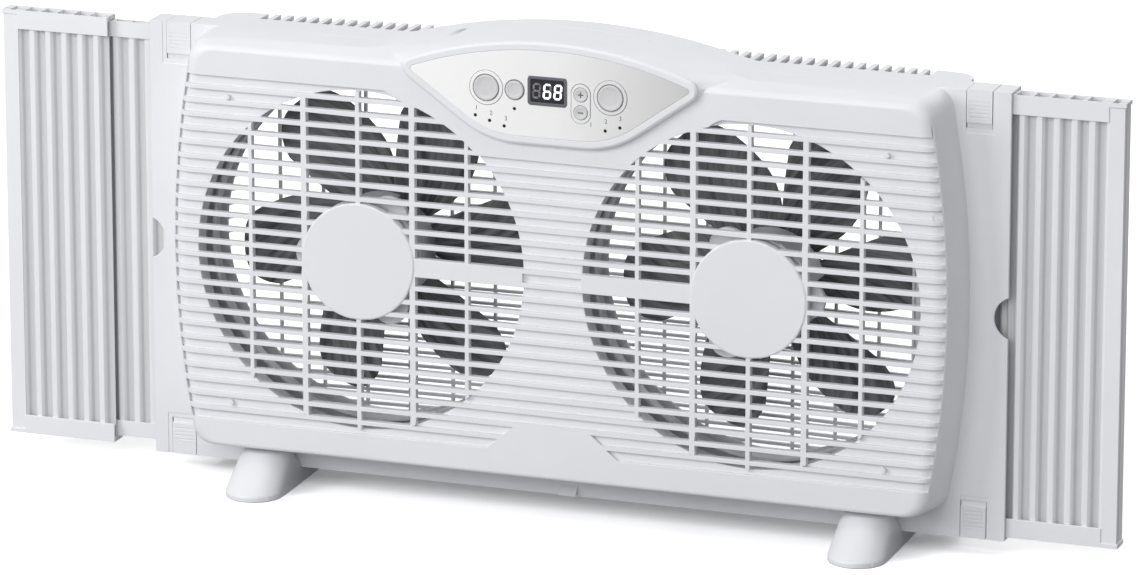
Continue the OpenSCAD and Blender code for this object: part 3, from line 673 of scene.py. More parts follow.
class PartTree(Nodes):
    """A geometry node tree that is run once and becomes a plain mesh."""

    def __init__(self, name: str) -> None:
        """Starts a tree with one geometry output.

        Args:
            name: The tree's name.
        """
        super().__init__(bpy.data.node_groups.new(name, "GeometryNodeTree"))
        self.tree.interface.new_socket("Geometry", in_out="OUTPUT", socket_type="NodeSocketGeometry")
        self.given = self.node("NodeGroupInput")
        self.result = self.node("NodeGroupOutput")
        self.sockets: dict[str, str] = {}

    def size(self, name: str, kind: str = "NodeSocketFloat") -> Socket:
        """Adds an input.

        Args:
            name: The input's name.
            kind: Its socket's type name.

        Returns:
            Its socket inside the tree.
        """
        made = self.tree.interface.new_socket(name, in_out="INPUT", socket_type=kind)
        self.sockets[name] = made.identifier
        return next(s for s in self.given.outputs if s.identifier == made.identifier)

    def finish(self, geometry: Socket) -> None:
        """Ends the tree in Realize Instances and Set Material.

        Args:
            geometry: What the tree has made.
        """
        finish = self.size("Finish", "NodeSocketMaterial")
        real = self.node("GeometryNodeRealizeInstances", Geometry=geometry).outputs["Geometry"]
        dressed = self.node("GeometryNodeSetMaterial", Geometry=real, Material=finish).outputs["Geometry"]
        self.tree.links.new(dressed, self.result.inputs["Geometry"])

    def run(self, name: str, values: dict[str, object]) -> Mesh:
        """Runs the tree on an empty object.

        Args:
            name: The new mesh's name.
            values: The tree's inputs by name.

        Returns:
            The result as a plain mesh.
        """
        carrier = new_object(name + "_tree", bpy.data.meshes.new(name + "_tree"))
        modifier = carrier.modifiers.new("tree", "NODES")
        modifier.node_group = self.tree
        for key, value in values.items():
            modifier[self.sockets[key]] = value
        mesh = bpy.data.meshes.new_from_object(evaluated(carrier))
        mesh.name = name
        carrier.modifiers.remove(modifier)
        bpy.data.objects.remove(carrier)
        return mesh


def template(mesh: Mesh) -> Object:
    """Returns an object that a tree reads a mesh from; `clear_templates` removes it again."""
    return new_object("template_" + mesh.name, mesh)


def clear_templates() -> None:
    """Removes the objects that trees have read."""
    for holder in [o for o in bpy.data.objects if o.name.startswith("template_")]:
        bpy.data.objects.remove(holder)


def circular_tree() -> PartTree:
    """Returns a tree that repeats a part round an axis along Y and adds the part in its middle."""
    tree = PartTree("round_an_axis")
    part, middle = tree.size("Part", "NodeSocketObject"), tree.size("Middle", "NodeSocketObject")
    count, turn = tree.size("Count", "NodeSocketInt"), tree.size("Turn")
    axis = tree.size("Axis", "NodeSocketVector")
    step = tree.math("DIVIDE", -2 * math.pi, count)
    index = tree.node("GeometryNodeInputIndex").outputs[0]
    angle = tree.math("ADD", tree.math("MULTIPLY", index, step), turn)
    rotation = tree.node("ShaderNodeCombineXYZ", Y=angle).outputs[0]
    points = tree.node("GeometryNodePoints", Count=count).outputs[0]
    shape = tree.node("GeometryNodeObjectInfo", Object=part).outputs["Geometry"]
    ring = tree.node("GeometryNodeInstanceOnPoints", Points=points, Instance=shape, Rotation=rotation)
    hub = tree.node("GeometryNodeObjectInfo", Object=middle).outputs["Geometry"]
    both = tree.node("GeometryNodeJoinGeometry")
    tree.tree.links.new(hub, both.inputs[0])
    tree.tree.links.new(ring.outputs[0], both.inputs[0])
    shifted = tree.node("GeometryNodeTransform", Geometry=both.outputs[0], Translation=axis)
    tree.finish(shifted.outputs[0])
    return tree


def scatter_tree() -> PartTree:
    """Returns a tree that sets a part on each corner of a mesh, all turned the same way."""
    tree = PartTree("one_on_each_point")
    part, places = tree.size("Part", "NodeSocketObject"), tree.size("Places", "NodeSocketObject")
    turn = tree.size("Turn", "NodeSocketVector")
    shape = tree.node("GeometryNodeObjectInfo", Object=part).outputs["Geometry"]
    where = tree.node("GeometryNodeObjectInfo", Object=places).outputs["Geometry"]
    made = tree.node("GeometryNodeInstanceOnPoints", Points=where, Instance=shape, Rotation=turn)
    tree.finish(made.outputs[0])
    return tree


# ------------------------------------------------------------------ pieces


def add_piece(
    name: str,
    mesh: Mesh,
    body: Body | str,
    finish: Material,
    replaced: tuple[str, ...] = (),
    smooth: float | None = 30.0,
) -> Object:
    """Adds a finished piece to the fan.

    Args:
        name: The piece's name.
        mesh: Its mesh, already in place.
        body: The body that it rides on.
        finish: Its material.
        replaced: CAD nodes that it stands for.
        smooth: Edges flatter than this, in degrees, are shaded smooth; None leaves the shading alone.

    Returns:
        The piece's object.
    """
    piece = new_object(name, mesh)
    mesh.materials.clear()
    mesh.materials.append(finish)
    if smooth is not None:
        mesh.shade_smooth()
        mesh.set_sharp_from_angle(angle=math.radians(smooth))
    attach(piece, body.value if isinstance(body, Body) else body)
    if replaced:
        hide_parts(*replaced)
    log.info("%s: %d faces on %s", name, len(mesh.polygons), body)
    return piece


def folded(piece: Object, least: float = 0.02) -> list[Vector]:
    """Returns the corners of a piece's shown triangles that face against their own polygon.

    Args:
        piece: The piece, with its modifiers.
        least: Triangles with less area than this, in square millimetres, don't count.

    Returns:
        The corners' places in metres, three for each triangle.
    """
    shown = evaluated(piece)
    mesh = shown.to_mesh()
    mesh.calc_loop_triangles()
    turned = [
        t for t in mesh.loop_triangles
        if t.area > least * MM * MM and t.normal.dot(mesh.polygons[t.polygon_index].normal) < 0.2
    ]
    corners = [mesh.vertices[i].co.copy() for t in turned for i in t.vertices]
    shown.to_mesh_clear()
    return corners


def soften(piece: Object, width: float, hollows: bool = True, sharper: float = 28.0) -> None:
    """Rounds a piece's edges as a mould does, less where faces are small and not where the round would fold.

    Args:
        piece: The piece.
        width: Width of the round, in millimetres.
        hollows: Whether inner corners are rounded too.
        sharper: Only edges sharper than this, in degrees, are rounded.
    """
    with edited(piece.data) as work:
        share = work.edges.layers.float.new("bevel_weight_edge")
        room = [min(line.calc_length() for line in corner.link_edges) for corner in work.verts]
        for index, corner in enumerate(work.verts):
            narrowest = min(loop.calc_angle() for loop in corner.link_loops)
            if room[index] < SMALLEST_EDGE * MM or narrowest < math.radians(SHARPEST_CORNER):
                room[index] = 0.0
        for line in work.edges:
            turns = len(line.link_faces) == 2 and line.calc_face_angle(0.0) > math.radians(sharper)
            if turns and (hollows or line.is_convex):
                line[share] = min(1.0, ROOM_SHARE * min(room[c.index] for c in line.verts) / (width * MM))
    edge = piece.modifiers.new("moulded_edge", "BEVEL")
    edge.width, edge.segments = width * MM, 2
    edge.limit_method = "WEIGHT"
    edge.use_clamp_overlap = False
    evened = piece.modifiers.new("even_shading", "WEIGHTED_NORMAL")
    evened.mode, evened.keep_sharp = "FACE_AREA", True
    near = KDTree(len(piece.data.vertices))
    for corner in piece.data.vertices:
        near.insert(corner.co, corner.index)
    near.balance()
    for reach in SPARED_REACHES:
        corners = folded(piece)
        if not corners:
            break
        spared = {index for corner in corners for _, index, _ in near.find_range(corner, reach * width * MM)}
        weights = piece.data.attributes["bevel_weight_edge"].data
        for line in piece.data.edges:
            if line.vertices[0] in spared or line.vertices[1] in spared:
                weights[line.index].value = 0.0
        piece.data.update()
    log.info("%s: %d folded corners left", piece.name, len(folded(piece)))


def dress(node: str, finish: Material) -> None:
    """Gives a CAD node its finish.

    Args:
        node: The CAD node.
        finish: Its material.
    """
    mesh = frame["nodes"][node].data
    mesh.materials.clear()
    mesh.materials.append(finish)
    log.info("%s dressed in %s", node, finish.name)


@dataclass
class Moulding:
    """White moulded parts that keep the CAD shape and get rounded edges, with each round's width."""

    finishes: Finishes
    lock_round: float = 0.25
    rounds: dict[str, tuple[float, Body]] = field(default_factory=lambda: {
        "front_cover": (0.35, Body.HOUSING),
        "main_frame": (0.4, Body.HOUSING),
        "rear_grille": (0.3, Body.HOUSING),
        "left_foot": (0.8, Body.HOUSING),
        "right_foot": (0.8, Body.HOUSING),
        "left_motor_housing": (0.5, Body.HOUSING),
        "right_motor_housing": (0.5, Body.HOUSING),
        "left_inner_panel": (0.3, Body.LEFT_INNER),
        "left_outer_panel": (0.3, Body.LEFT_OUTER),
        "right_inner_panel": (0.3, Body.RIGHT_INNER),
        "right_outer_panel": (0.3, Body.RIGHT_OUTER),
    })

    def build(self) -> None:
        """Replaces each node by its rounded copy."""
        white = self.finishes.white
        for node, (width, body) in self.rounds.items():
            stage = node.split("_")[1]
            finish = self.finishes.stages[stage] if "panel" in node else white
            soften(add_piece(node + "_moulded", welded_copy(node), body, finish, (node,)), width)
        for corner in ("left_top", "left_bottom", "right_top", "right_bottom"):
            node = corner + "_lock"
            mesh = welded_copy(node)
            lock = add_piece(node + "_moulded", mesh, node + "_slider", white, (node,))
            soften(lock, self.lock_round, hollows=False)


@dataclass
class ControlPanel:
    """Lens, buttons, indicators and display.

    Sizes are in millimetres and angles in degrees. A ring is given by its two radii, a cap by its radius
    and its axis in X and Z.
    """

    finishes: Finishes
    lens_front: float = -53.5
    relief: float = 0.03
    sunk: float = 0.1
    ground: Point = (-48.53, -45.4)
    ground_z: Point = (240.4, 279.6)
    opening_r: float = 116.55
    opening_end: float = 76.0
    flank_tip: tuple[Point, ...] = ((112.4, 274.9), (116.6, 276.9), (120.0, 278.0))
    flank_corner: Point = (23.5, 316.4)
    flank_r: float = 64.2
    flank_slope: float = 35.2
    display: Point = (-0.8, FAN_HEIGHT + 129.0)
    bezel: Point = (27.4, 19.6)
    bezel_section: tuple[Place, ...] = (
        (0.0, 0.1, 2.4), (0.0, -0.35, 2.4), (0.35, -0.6, 2.1), (1.7, -0.6, 1.2), (2.1, -0.1, 0.9),
    )
    glass: Point = (25.8, 18.8)
    glass_y: Point = (-0.15, 1.3)
    digit: Point = (5.6, 10.6)
    digit_share: Point = (0.78, 0.86)
    digit_pitch: float = 7.4
    digit_lean: float = 0.08
    digit_y: Point = (-0.21, -0.13)
    stroke: float = 1.35
    cap_rim: float = 0.5
    cap_dish: float = 0.28
    flange_depth: float = 5.4
    stem_r: float = 1.8
    outer_ring: Point = (11.3, 11.85)
    inner_ring: Point = (8.95, 9.35)
    inner_ring_rise: float = 0.4
    small_ring: Point = (6.55, 7.1)
    pair_ring: Point = (6.45, 7.0)
    pair_reach: float = 6.6
    mark_arm: float = 1.9
    mark_half: float = 0.4
    mark_y: float = 0.24
    figure_size: float = 4.2
    caps: dict[str, tuple[float, Point]] = field(default_factory=lambda: {
        "left": (8.6, (-43.5, FAN_HEIGHT + 128.3)),
        "small": (6.2, (-23.6, FAN_HEIGHT + 128.3)),
        "plus": (4.7, (22.5, FAN_HEIGHT + 128.7)),
        "minus": (4.7, (22.5, FAN_HEIGHT + 116.7)),
        "right": (8.6, (43.0, FAN_HEIGHT + 128.3)),
    })
    scale_marks: tuple[tuple[str, Point], ...] = (
        ("1", (-50.4, FAN_HEIGHT + 114.2)),
        ("2", (-40.2, FAN_HEIGHT + 111.3)),
        ("3", (-29.8, FAN_HEIGHT + 108.4)),
        ("1", (29.5, FAN_HEIGHT + 109.2)),
        ("2", (39.9, FAN_HEIGHT + 112.2)),
        ("3", (49.9, FAN_HEIGHT + 114.9)),
    )

    def build(self) -> None:
        """Builds the panel."""
        f = self.finishes
        soften(add_piece("panel_ground", self.plain_ground(), Body.HOUSING, f.white), 0.4)
        node = "control_lens"
        lens = add_piece(node + "_lacquered", welded_copy(node), Body.HOUSING, f.lens, (node,))
        soften(lens, 0.2)
        for name in self.caps:
            self.cap(name)
        self.rings()
        self.window()
        self.digits()
        self.marks()
        dress("display_module", f.bezel)
        dress("control_board", f.board)
        dress("led_pipes", f.indicator)

    def plain_ground(self) -> Mesh:
        """Returns the plain ground that fills the grooves between the panel's rim and the two openings."""
        r, (cx, cz), (low, high) = self.opening_r, self.flank_corner, self.ground_z
        start, end = math.asin((low - FAN_HEIGHT) / r), math.radians(self.opening_end)
        arc = [(-r * math.cos(a), r * math.sin(a)) for a in np.linspace(start, end, 28)]
        edge = moved(arc, (FAN_OFFSET, FAN_HEIGHT))
        edge += [*self.flank_tip, (self.flank_tip[-1][0], high)]
        slope = math.radians(self.flank_slope)
        turns = np.linspace(slope, 0.0, 8)
        bend = [(cx + self.flank_r * math.sin(a), cz - self.flank_r * math.cos(a)) for a in turns]
        shoulder = bend[0][0] + (high - bend[0][1]) / math.tan(slope)
        right = edge + [(shoulder, high)] + bend
        left = [(-x, z) for x, z in reversed(right)]
        return plate("panel_ground", right + left, *self.ground)

    def cap(self, name: str) -> None:
        """Builds a turned button cap with a rounded rim, a dished face, and its flange and stem behind.

        Args:
            name: The button's name.
        """
        (r, centre), box = self.caps[name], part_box(name + "_button")
        low, high = box[0].y / MM, box[1].y / MM
        flange, rim, floor = low + self.flange_depth, self.cap_rim, low + self.cap_dish
        profile = [(0.0, high), (self.stem_r, high), (self.stem_r, flange + 0.5), (r + 1, flange + 0.5)]
        profile += [(r + 1, flange - 0.3), (r, flange - 0.3)]
        for turn in (0.0, 0.4, 0.8, 1.2, math.pi / 2):
            profile.append((r - rim + rim * math.cos(turn), low + rim - rim * math.sin(turn)))
        profile += [(r - 1.5, low), (r - 1.75, low + 0.1), (r * 0.5, floor), (0.0, floor + 0.04)]
        mesh = lathe(name + "_cap", profile, centre, 72 if r > 5 else 48)
        replaced = (name + "_button",)
        add_piece(name + "_cap", mesh, self.cap_body(name), self.finishes.cap, replaced)

    def cap_body(self, name: str) -> str:
        """Returns the name of the body that a cap rides on."""
        bodies = frame["record"]["behaviour"]["bodies"]
        return next(body for body, nodes in bodies.items() if name + "_button" in nodes)

    def rings(self) -> None:
        """Draws the fine dark lines round the buttons and round the pair of step buttons."""
        y = self.lens_front
        meshes = []
        for name in ("left", "right"):
            meshes.append(self.ring(name, self.outer_ring, y))
            meshes.append(self.ring(name, self.inner_ring, y - self.inner_ring_rise))
        meshes.append(self.ring("small", self.small_ring, y))
        (column, upper), (_, lower) = self.caps["plus"][1], self.caps["minus"][1]
        middle = column, (upper + lower) / 2
        section = self.ring_section(self.pair_ring, y)
        loops = [[(x, depth, z) for x, z in moved(self.slot(r), middle)] for r, depth in section]
        meshes.append(loft("ring", loops))
        mesh = joined("button_rings", meshes)
        add_piece("button_rings", mesh, Body.HOUSING, self.finishes.line)

    def ring(self, name: str, radii: Point, front: float) -> Mesh:
        """Returns a flat ring about a button, between two radii, on a surface at a depth."""
        return lathe("ring", self.ring_section(radii, front), self.caps[name][1], 96)

    def ring_section(self, radii: Point, front: float) -> list[Point]:
        """Makes a flat ring's section.

        Args:
            radii: The ring's inner and outer radius.
            front: The depth of the surface that it lies on.

        Returns:
            The radius and depth of each corner.
        """
        inner, outer = radii
        face, back = front - self.relief, front + self.sunk
        return [(inner, face), (outer, face), (outer, back), (inner, back)]

    def slot(self, r: float) -> list[Point]:
        """Makes an upright slot with round ends.

        Args:
            r: The radius of its ends.

        Returns:
            Its outline about its middle.
        """
        turns = np.linspace(0, 2 * math.pi, 49)[:-1]
        ends = [math.copysign(self.pair_reach, math.sin(a + 0.01)) for a in turns]
        return [(r * math.cos(a), end + r * math.sin(a)) for a, end in zip(turns, ends)]

    def window(self) -> None:
        """Builds the display's bezel and its dark glass."""
        f, y, (w, h) = self.finishes, self.lens_front, self.bezel
        loops = []
        for inset, depth, r in self.bezel_section:
            outline = moved(rounded_box(w / 2 - inset, h / 2 - inset, r, 6), self.display)
            loops.append([(x, y + depth, z) for x, z in outline])
        add_piece("display_bezel", loft("display_bezel", loops), Body.HOUSING, f.bezel)
        outline = moved(rounded_box(self.glass[0] / 2, self.glass[1] / 2, 1.0), self.display)
        glass = plate("display_glass", outline, *(y + depth for depth in self.glass_y))
        add_piece("display_glass", glass, Body.HOUSING, f.glass, ("display_window",))

    def segment(self, start: Point, end: Point) -> Mesh:
        """Makes one bar of a digit, pointed at both ends.

        Args:
            start: One tip in X and Z.
            end: The other tip.

        Returns:
            The bar's mesh.
        """
        a, b = Vector(start), Vector(end)
        along = (b - a).normalized()
        across = Vector((-along.y, along.x)) * self.stroke / 2
        tip = along * self.stroke / 2
        gap = along * 0.12
        a, b = a + gap, b - gap
        outline = [a, a + tip + across, b - tip + across, b, b - tip - across, a + tip - across]
        front, back = (self.lens_front + depth for depth in self.digit_y)
        return plate("segment", [tuple(p) for p in outline], front, back)

    def digits(self) -> None:
        """Builds the display's three plain digits, of which the last two are lit."""
        w, h = self.digit[0] / 2, self.digit[1] / 2
        ends = {
            "a": ((-w, h), (w, h)), "b": ((w, h), (w, 0)), "c": ((w, 0), (w, -h)), "d": ((-w, -h), (w, -h)),
            "e": ((-w, 0), (-w, -h)), "f": ((-w, h), (-w, 0)), "g": ((-w, 0), (w, 0)),
        }
        wide, tall = self.digit_share
        bars: dict[bool, list[Mesh]] = {True: [], False: []}
        for place, on in ((-1, ""), (0, "acdefg"), (1, "abcdefg")):
            middle = self.display[0] + place * self.digit_pitch, self.display[1]
            for key, bar in ends.items():
                leaning = [(x * wide + z * self.digit_lean, z * tall) for x, z in bar]
                bars[key in on].append(self.segment(*moved(leaning, middle)))
        f = self.finishes
        for name, lit, finish in (("digits_lit", True, f.lit), ("digits_unlit", False, f.unlit)):
            add_piece(name, joined(name, bars[lit]), Body.HOUSING, finish, smooth=None)

    def marks(self) -> None:
        """Prints a plus and a minus on the step buttons and plain digits above the indicators."""
        ink, (arm, half) = self.finishes.ink, (self.mark_arm, self.mark_half)
        shapes = {"plus": cross(arm, half), "minus": [(-arm, -half), (arm, -half), (arm, half), (-arm, half)]}
        for name, shape in shapes.items():
            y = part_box(name + "_button")[0].y / MM + self.mark_y
            mark = plate(name + "_mark", moved(shape, self.caps[name][1]), y - 0.04, y + self.sunk)
            add_piece(name + "_mark", mark, self.cap_body(name), ink, smooth=None)
        prints = joined("scale_figures", [self.figure(text, place) for text, place in self.scale_marks])
        add_piece("scale_figures", prints, Body.HOUSING, ink, smooth=None)

    def figure(self, text: str, place: Point) -> Mesh:
        """Returns one plain printed figure on the lens.

        Args:
            text: The digit.
            place: Its middle in X and Z.

        Returns:
            The figure's mesh.
        """
        curve = bpy.data.curves.new("figure_" + text, "FONT")
        curve.body, curve.size, curve.extrude = text, self.figure_size * MM, 0.02 * MM
        curve.align_x, curve.align_y = "CENTER", "CENTER"
        holder = new_object("figure_" + text, curve)
        mesh = bpy.data.meshes.new_from_object(evaluated(holder))
        bpy.data.objects.remove(holder)
        at = Matrix.Translation(Vector((place[0], self.lens_front - 0.02, place[1])) * MM)
        mesh.transform(at @ Matrix.Rotation(math.pi / 2, 4, "X"))
        with edited(mesh) as work:
            bmesh.ops.remove_doubles(work, verts=work.verts, dist=1e-7)
        return mesh


@dataclass
class Impellers:
    """The two fans' blades, hubs, nuts and shafts. Sizes are in millimetres, angles in degrees."""

    finishes: Finishes
    blade_count: int = 6
    first_turn: float = 1.0
    tip_r: float = 113.0
    tip_round: float = 24.0
    tip_power: float = 3.2
    root_r: float = 24.0
    half_angle: float = 26.0
    narrowing: float = 8.8
    swell: float = 3.0
    sweep: float = 9.0
    blade_y: float = 21.5
    half_depth: float = 11.0
    root_depth: float = 0.86
    fade: float = 0.16
    camber: float = 3.2
    thickness: float = 1.9
    edge: float = 0.05
    hub_r: float = 26.0
    hub_front: float = 9.5
    hub_rear: float = 32.0
    ribs: int = 6
    grip_r: float = 6.5
    flute: float = 0.45
    flutes: int = 12

    def build(self) -> None:
        """Builds both impellers with one tree."""
        tree, plastic_finish = circular_tree(), self.finishes.blade
        blade, hub = template(self.blade()), template(self.hub())
        for name, side, body in (("left", -1, Body.LEFT_FAN), ("right", 1, Body.RIGHT_FAN)):
            piece = name + "_impeller_smooth"
            axis = (side * FAN_OFFSET * MM, 0.0, FAN_HEIGHT * MM)
            mesh = tree.run(piece, {
                "Part": blade, "Middle": hub, "Count": self.blade_count,
                "Turn": math.radians(self.first_turn), "Axis": axis, "Finish": plastic_finish,
            })
            add_piece(piece, mesh, body, plastic_finish, (name + "_impeller",), 40.0)
            self.nut(name, side, body)
            dress(name + "_rotor_shaft", self.finishes.steel)
        clear_templates()

    def blade_point(self, u: float, v: float, lift: float) -> Place:
        """Places a point of the first blade, about the fan's axis.

        Args:
            u: Where it is on the chord, from -1 to 1.
            v: Where it is between root and tip, from 0 to 1.
            lift: How far it stands off the middle surface.

        Returns:
            The point's place.
        """
        reach = self.tip_r - self.tip_round * abs(u) ** self.tip_power
        r = self.root_r + (reach - self.root_r) * v
        half_angle = self.half_angle - self.narrowing * v + self.swell * math.sin(math.radians(180 * v))
        a = math.radians(u * half_angle + self.sweep * v * v)
        bulge = (1 - self.root_depth) * math.sin(math.radians(150 * v))
        depth = self.half_depth * (self.root_depth + bulge) * (1 - self.fade * v)
        y = self.blade_y - u * depth + self.camber * (0.5 - u * u) + lift
        return r * math.cos(a), y, r * math.sin(a)

    def blade(self) -> Mesh:
        """Returns one blade, smooth and thinned to a round edge all round."""
        edge, tip_edge = self.edge, self.edge / 2
        thin = [1 - math.cos(math.pi / 8 * k) for k in range(4)]
        lead = [-1 + edge * t for t in thin]
        us = lead + list(np.linspace(-1 + edge, 1 - edge, 25)) + [-u for u in reversed(lead)]
        vs = list(np.linspace(0, 1 - tip_edge, 20)) + [1 - tip_edge * t for t in reversed(thin)]
        points: list[Place] = []
        for side in (-1, 1):
            for v in vs:
                for u in us:
                    near_side = max(0.0, (abs(u) - 1 + edge) / edge)
                    near_tip = max(0.0, (v - 1 + tip_edge) / tip_edge)
                    full = math.sqrt(max(0.0, 1 - near_side ** 2)) * math.sqrt(max(0.0, 1 - near_tip ** 2))
                    points.append(self.blade_point(u, v, side * self.thickness / 2 * full))
        row, size = len(us), len(us) * len(vs)
        faces: Faces = []
        for j in range(len(vs) - 1):
            for i in range(row - 1):
                a = j * row + i
                quad = (a, a + 1, a + row + 1, a + row)
                faces += [quad, tuple(size + c for c in reversed(quad))]
        faces.append(tuple(range(row)) + tuple(size + i for i in reversed(range(row))))
        return mesh_of("blade", points, faces, 2e-5)

    def hub(self) -> Mesh:
        """Returns the hub: a cup open at the front, with a boss and ribs inside."""
        y0, y1, r = self.hub_front, self.hub_rear, self.hub_r
        corner = [(r - 2 + 2 * math.cos(a), y1 - 2 + 2 * math.sin(a)) for a in np.linspace(0, math.pi / 2, 6)]
        profile = [(3.0, y0), (6.4, y0), (7.0, y0 + 0.6), (7.6, y1 - 4.0), (9.0, y1 - 2.6)]
        profile += [(r - 4, y1 - 2.6), (r - 2.6, y1 - 4.0), (r - 2.3, y0 + 0.3), (r - 2.0, y0)]
        profile += [(r - 0.4, y0), (r, y0 + 0.4), *corner, (3.0, y1)]
        meshes = [lathe("hub", profile, steps=96)]
        inner, outer, half = 6.8, r - 2.4, 0.7
        for k in range(self.ribs):
            outline = [(inner, -half), (outer, -half), (outer, half), (inner, half)]
            rib = plate("rib", outline, y0 + 2.0, y1 - 2.5)
            rib.transform(Matrix.Rotation(2 * math.pi / self.ribs * k + 0.3, 4, "Y"))
            meshes.append(rib)
        return joined("hub", meshes)

    def nut(self, name: str, side: int, body: Body) -> None:
        """Builds the cap nut that holds an impeller, with grip flutes.

        Args:
            name: The side's name.
            side: -1 on the left and 1 on the right.
            body: The fan that the nut turns with.
        """
        y, centre = self.hub_rear, (side * FAN_OFFSET, FAN_HEIGHT)
        profile = [(0.0, y), (8.7, y), (9.0, y + 0.3), (9.0, y + 1.6), (8.6, y + 2.0), (0.0, y + 2.0)]
        base = lathe("nut_base", profile, centre)
        outline = []
        for k in range(4 * self.flutes):
            a = 2 * math.pi * k / (4 * self.flutes)
            r = self.grip_r - (self.flute if k % 4 in (0, 1) else 0.0)
            outline.append((r * math.cos(a), r * math.sin(a)))
        grip = plate("nut_grip", moved(outline, centre), y + 1.8, y + 6.0)
        nut, replaced = joined(name + "_nut", [base, grip]), (name + "_impeller_nut",)
        soften(add_piece(name + "_nut", nut, body, self.finishes.blade, replaced), 0.25)


@dataclass
class Fasteners:
    """Pan head screws with a cross recess, set on their places by one tree. Sizes are in millimetres."""

    finishes: Finishes
    steps: int = 48
    recess_arm: float = 0.5
    recess_half: float = 0.13
    recess_depth: float = 0.75
    recess_floor: float = 0.72
    grille_y: float = 13.3
    grille_x: Point = (200.0, 14.0)
    grille_z: Point = (295.0, 8.0)
    foot_screw: Place = (213.5, 0.0, -6.1)

    def head(self, radius: float, height: float, length: float, shank: float) -> Mesh:
        """Returns a screw that points along -Y from its head's underside at the origin.

        Args:
            radius: The head's radius.
            height: The head's height.
            length: The shank's length.
            shank: The shank's radius.

        Returns:
            The closed mesh.
        """
        profile = [(0.0, -length), (shank * 0.6, -length), (shank, -length + shank * 0.7), (shank, 0.0)]
        profile += [(radius, 0.0), (radius, height * 0.35), (radius * 0.94, height * 0.7)]
        profile += [(radius * 0.75, height * 0.93), (radius * 0.62, height)]
        turns = np.linspace(0.0, 2 * math.pi, self.steps, endpoint=False)
        recess = cross(radius * self.recess_arm, radius * self.recess_half)
        narrow, low = self.recess_floor, height * (1 - self.recess_depth)
        mesh = bpy.data.meshes.new("pan_head")
        with edited(mesh) as work:
            rings = []
            for r, y in profile:
                around = turns if r > 0 else turns[:1]
                rings.append(new_corners(work, [(r * math.cos(a), y, r * math.sin(a)) for a in around]))
            for a, b in zip(rings, rings[1:]):
                for i, j in pairs(list(range(self.steps))):
                    work.faces.new([a[0], b[j], b[i]] if len(a) == 1 else [a[i], a[j], b[j], b[i]])
            rim = new_corners(work, [(x, height, z) for x, z in recess])
            floor = new_corners(work, [(x * narrow, low, z * narrow) for x, z in recess])
            edges = [work.edges.new(ends) for ends in pairs(rim)]
            edges += [work.edges.get(ends) for ends in pairs(rings[-1])]
            bmesh.ops.triangle_fill(work, edges=edges, use_beauty=True)
            for face in [f for f in work.faces if all(v in rim for v in f.verts)]:
                work.faces.remove(face)
            for (a, b), (c, d) in zip(pairs(rim), pairs(floor)):
                work.faces.new([a, b, d, c])
            work.faces.new(floor)
            bmesh.ops.recalc_face_normals(work, faces=work.faces)
        return mesh

    def build(self) -> None:
        """Builds every set of screws."""
        tree, steel = scatter_tree(), self.finishes.steel
        grille = [(s * x, self.grille_y, z) for s in (-1, 1) for x in self.grille_x for z in self.grille_z]
        x, y, z = self.foot_screw
        sets = {
            "grille_screws": (self.head(3.0, 1.6, 9.0, 1.35), grille, (0.0, 0.0, 0.0)),
            "foot_screws": (self.head(3.0, 2.0, 7.6, 1.4), [(-x, y, z), (x, y, z)], (-math.pi / 2, 0.0, 0.0)),
        }
        for name, (screw, places, turn) in sets.items():
            spots = bpy.data.meshes.new(name + "_spots")
            spots.from_pydata([tuple(c * MM for c in p) for p in places], [], [])
            mesh = tree.run(name + "_cross", {
                "Part": template(screw), "Places": template(spots), "Turn": turn, "Finish": steel,
            })
            add_piece(name + "_cross", mesh, Body.HOUSING, steel, (name,))
        clear_templates()
        for node in ("cover_screws", "motor_screws", "board_screws"):
            dress(node, steel)


@dataclass
class Motors:
    """What stands inside the motor housings, and the cord's grommet."""

    finishes: Finishes

    def build(self) -> None:
        """Dresses the CAD nodes."""
        for side in ("left", "right"):
            dress(side + "_stator", self.finishes.lamination)
            dress(side + "_bearings", self.finishes.bronze)
        dress("cord_gland", self.finishes.rubber)


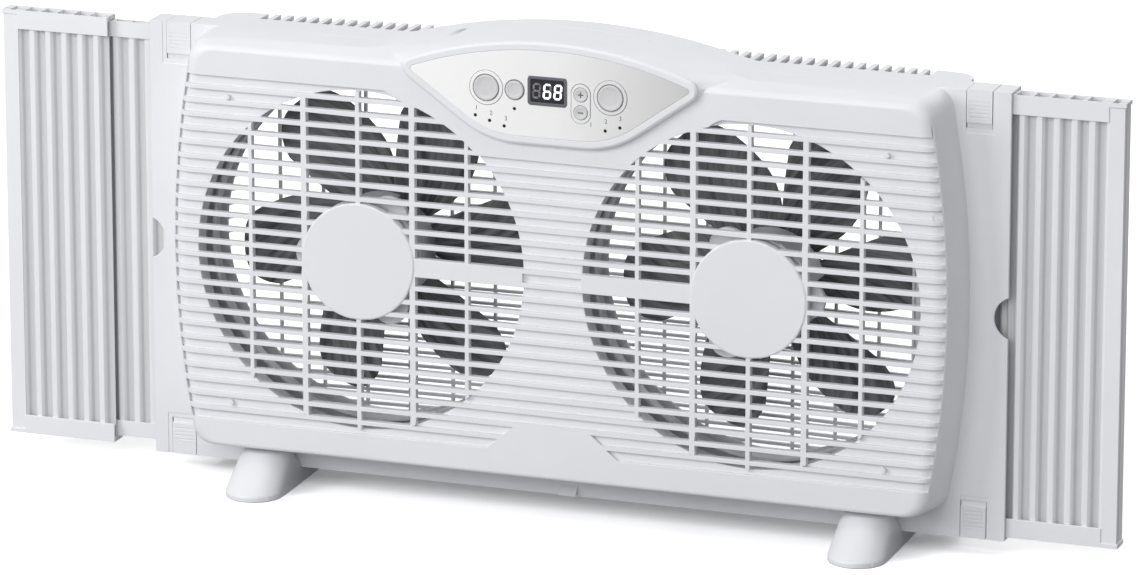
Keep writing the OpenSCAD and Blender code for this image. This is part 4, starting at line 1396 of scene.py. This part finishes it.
@dataclass
class Studio:
    """Camera, floor and soft light.

    Places are in millimetres. A lamp has its place, its side in metres and its power in watts.
    """

    eye: Place = (1537.4, -4208.4, 1366.7)
    target: Place = (13.5, -48.5, 155.3)
    lens: float = 220.15
    sensor: float = 36.0
    clip: Point = (0.1, 60.0)
    floor_z: float = -11.1
    floor_half: float = 9000.0
    floor_tone: Colour = (0.45, 0.45, 0.46)
    floor_seen: Colour = (1.8, 1.8, 1.8)
    ambient: float = 0.24
    lit_place: Place = (0.0, 0.0, 150.0)
    lamps: dict[str, tuple[Place, float, float]] = field(default_factory=lambda: {
        "key": ((-2200.0, -2200.0, 1500.0), 1.5, 46.0),
        "front": ((-200.0, -3300.0, 1700.0), 2.2, 49.0),
        "fill": ((3000.0, -1400.0, 1500.0), 2.0, 5.0),
        "top": ((0.0, -500.0, 3200.0), 2.4, 26.0),
        "back": ((900.0, 3000.0, 2300.0), 2.6, 42.0),
    })

    def build(self) -> None:
        """Builds the studio."""
        self.camera()
        self.floor()
        self.world()
        for name, (place, side, power) in self.lamps.items():
            data = bpy.data.lights.new(name, "AREA")
            data.energy, data.size = power, side
            self.placed(name, data, place, self.lit_place)
        bpy.context.scene.view_settings.view_transform = "Standard"

    def placed(self, name: str, data: bpy.types.ID, place: Place, target: Place) -> Object:
        """Adds a camera or a lamp to the scene.

        Args:
            name: Its name.
            data: Its data.
            place: Where it stands.
            target: Where it looks.

        Returns:
            The new object.
        """
        made = new_object(name, data)
        made.location = Vector(place) * MM
        made.rotation_euler = (Vector(target) - Vector(place)).to_track_quat("-Z", "Y").to_euler()
        return made

    def camera(self) -> None:
        """Sets up the camera at the photograph's angle."""
        data = bpy.data.cameras.new("camera")
        data.lens, data.sensor_width, data.sensor_fit = self.lens, self.sensor, "HORIZONTAL"
        data.clip_start, data.clip_end = self.clip
        bpy.context.scene.camera = self.placed("camera", data, self.eye, self.target)

    def floor(self) -> None:
        """Lays a white floor that keeps the fan's shadow."""
        half, z = self.floor_half * MM, self.floor_z * MM
        mesh = bpy.data.meshes.new("floor")
        corners = [(x * half, y * half, z) for x, y in ((-1, -1), (1, -1), (1, 1), (-1, 1))]
        mesh.from_pydata(corners, [], [(0, 1, 2, 3)])
        material = bpy.data.materials.new("floor_white")
        material.use_nodes = True
        mesh.materials.append(material)
        nodes = Nodes(material.node_tree)
        seen = nodes.node("ShaderNodeLightPath").outputs["Is Camera Ray"]
        plain = nodes.node("ShaderNodeBsdfDiffuse", Color=nodes.mix(seen, self.floor_tone, self.floor_seen))
        nodes.node("ShaderNodeOutputMaterial", Surface=plain.outputs["BSDF"])
        new_object("floor", mesh)

    def world(self) -> None:
        """Makes the surroundings white to the camera and a soft even light to the fan."""
        world = bpy.data.worlds.new("surroundings")
        bpy.context.scene.world = world
        world.use_nodes = True
        nodes = Nodes(world.node_tree)
        rays = nodes.node("ShaderNodeLightPath").outputs
        seen = rays["Is Camera Ray"]
        for kind in ("Is Glossy Ray", "Is Transmission Ray"):
            seen = nodes.math("MAXIMUM", seen, rays[kind])
        strength = nodes.node("ShaderNodeMapRange", Value=seen, To_Min=self.ambient, To_Max=1.0)
        back = nodes.node("ShaderNodeBackground", Strength=strength.outputs["Result"])
        back.inputs["Color"].default_value = (1.0, 1.0, 1.0, 1.0)
        nodes.node("ShaderNodeOutputWorld", Surface=back.outputs["Background"])


def main() -> None:
    """Builds the fan's looks and its studio."""
    logging.basicConfig(level=logging.INFO, format="%(name)s: %(message)s")
    finishes = Finishes()
    Studio().build()
    for kind in (Moulding, ControlPanel, Impellers, Fasteners, Motors):
        kind(finishes).build()
        log.info("%s built", kind.__name__)
    bpy.context.view_layer.update()


if __name__ == "__main__":
    main()
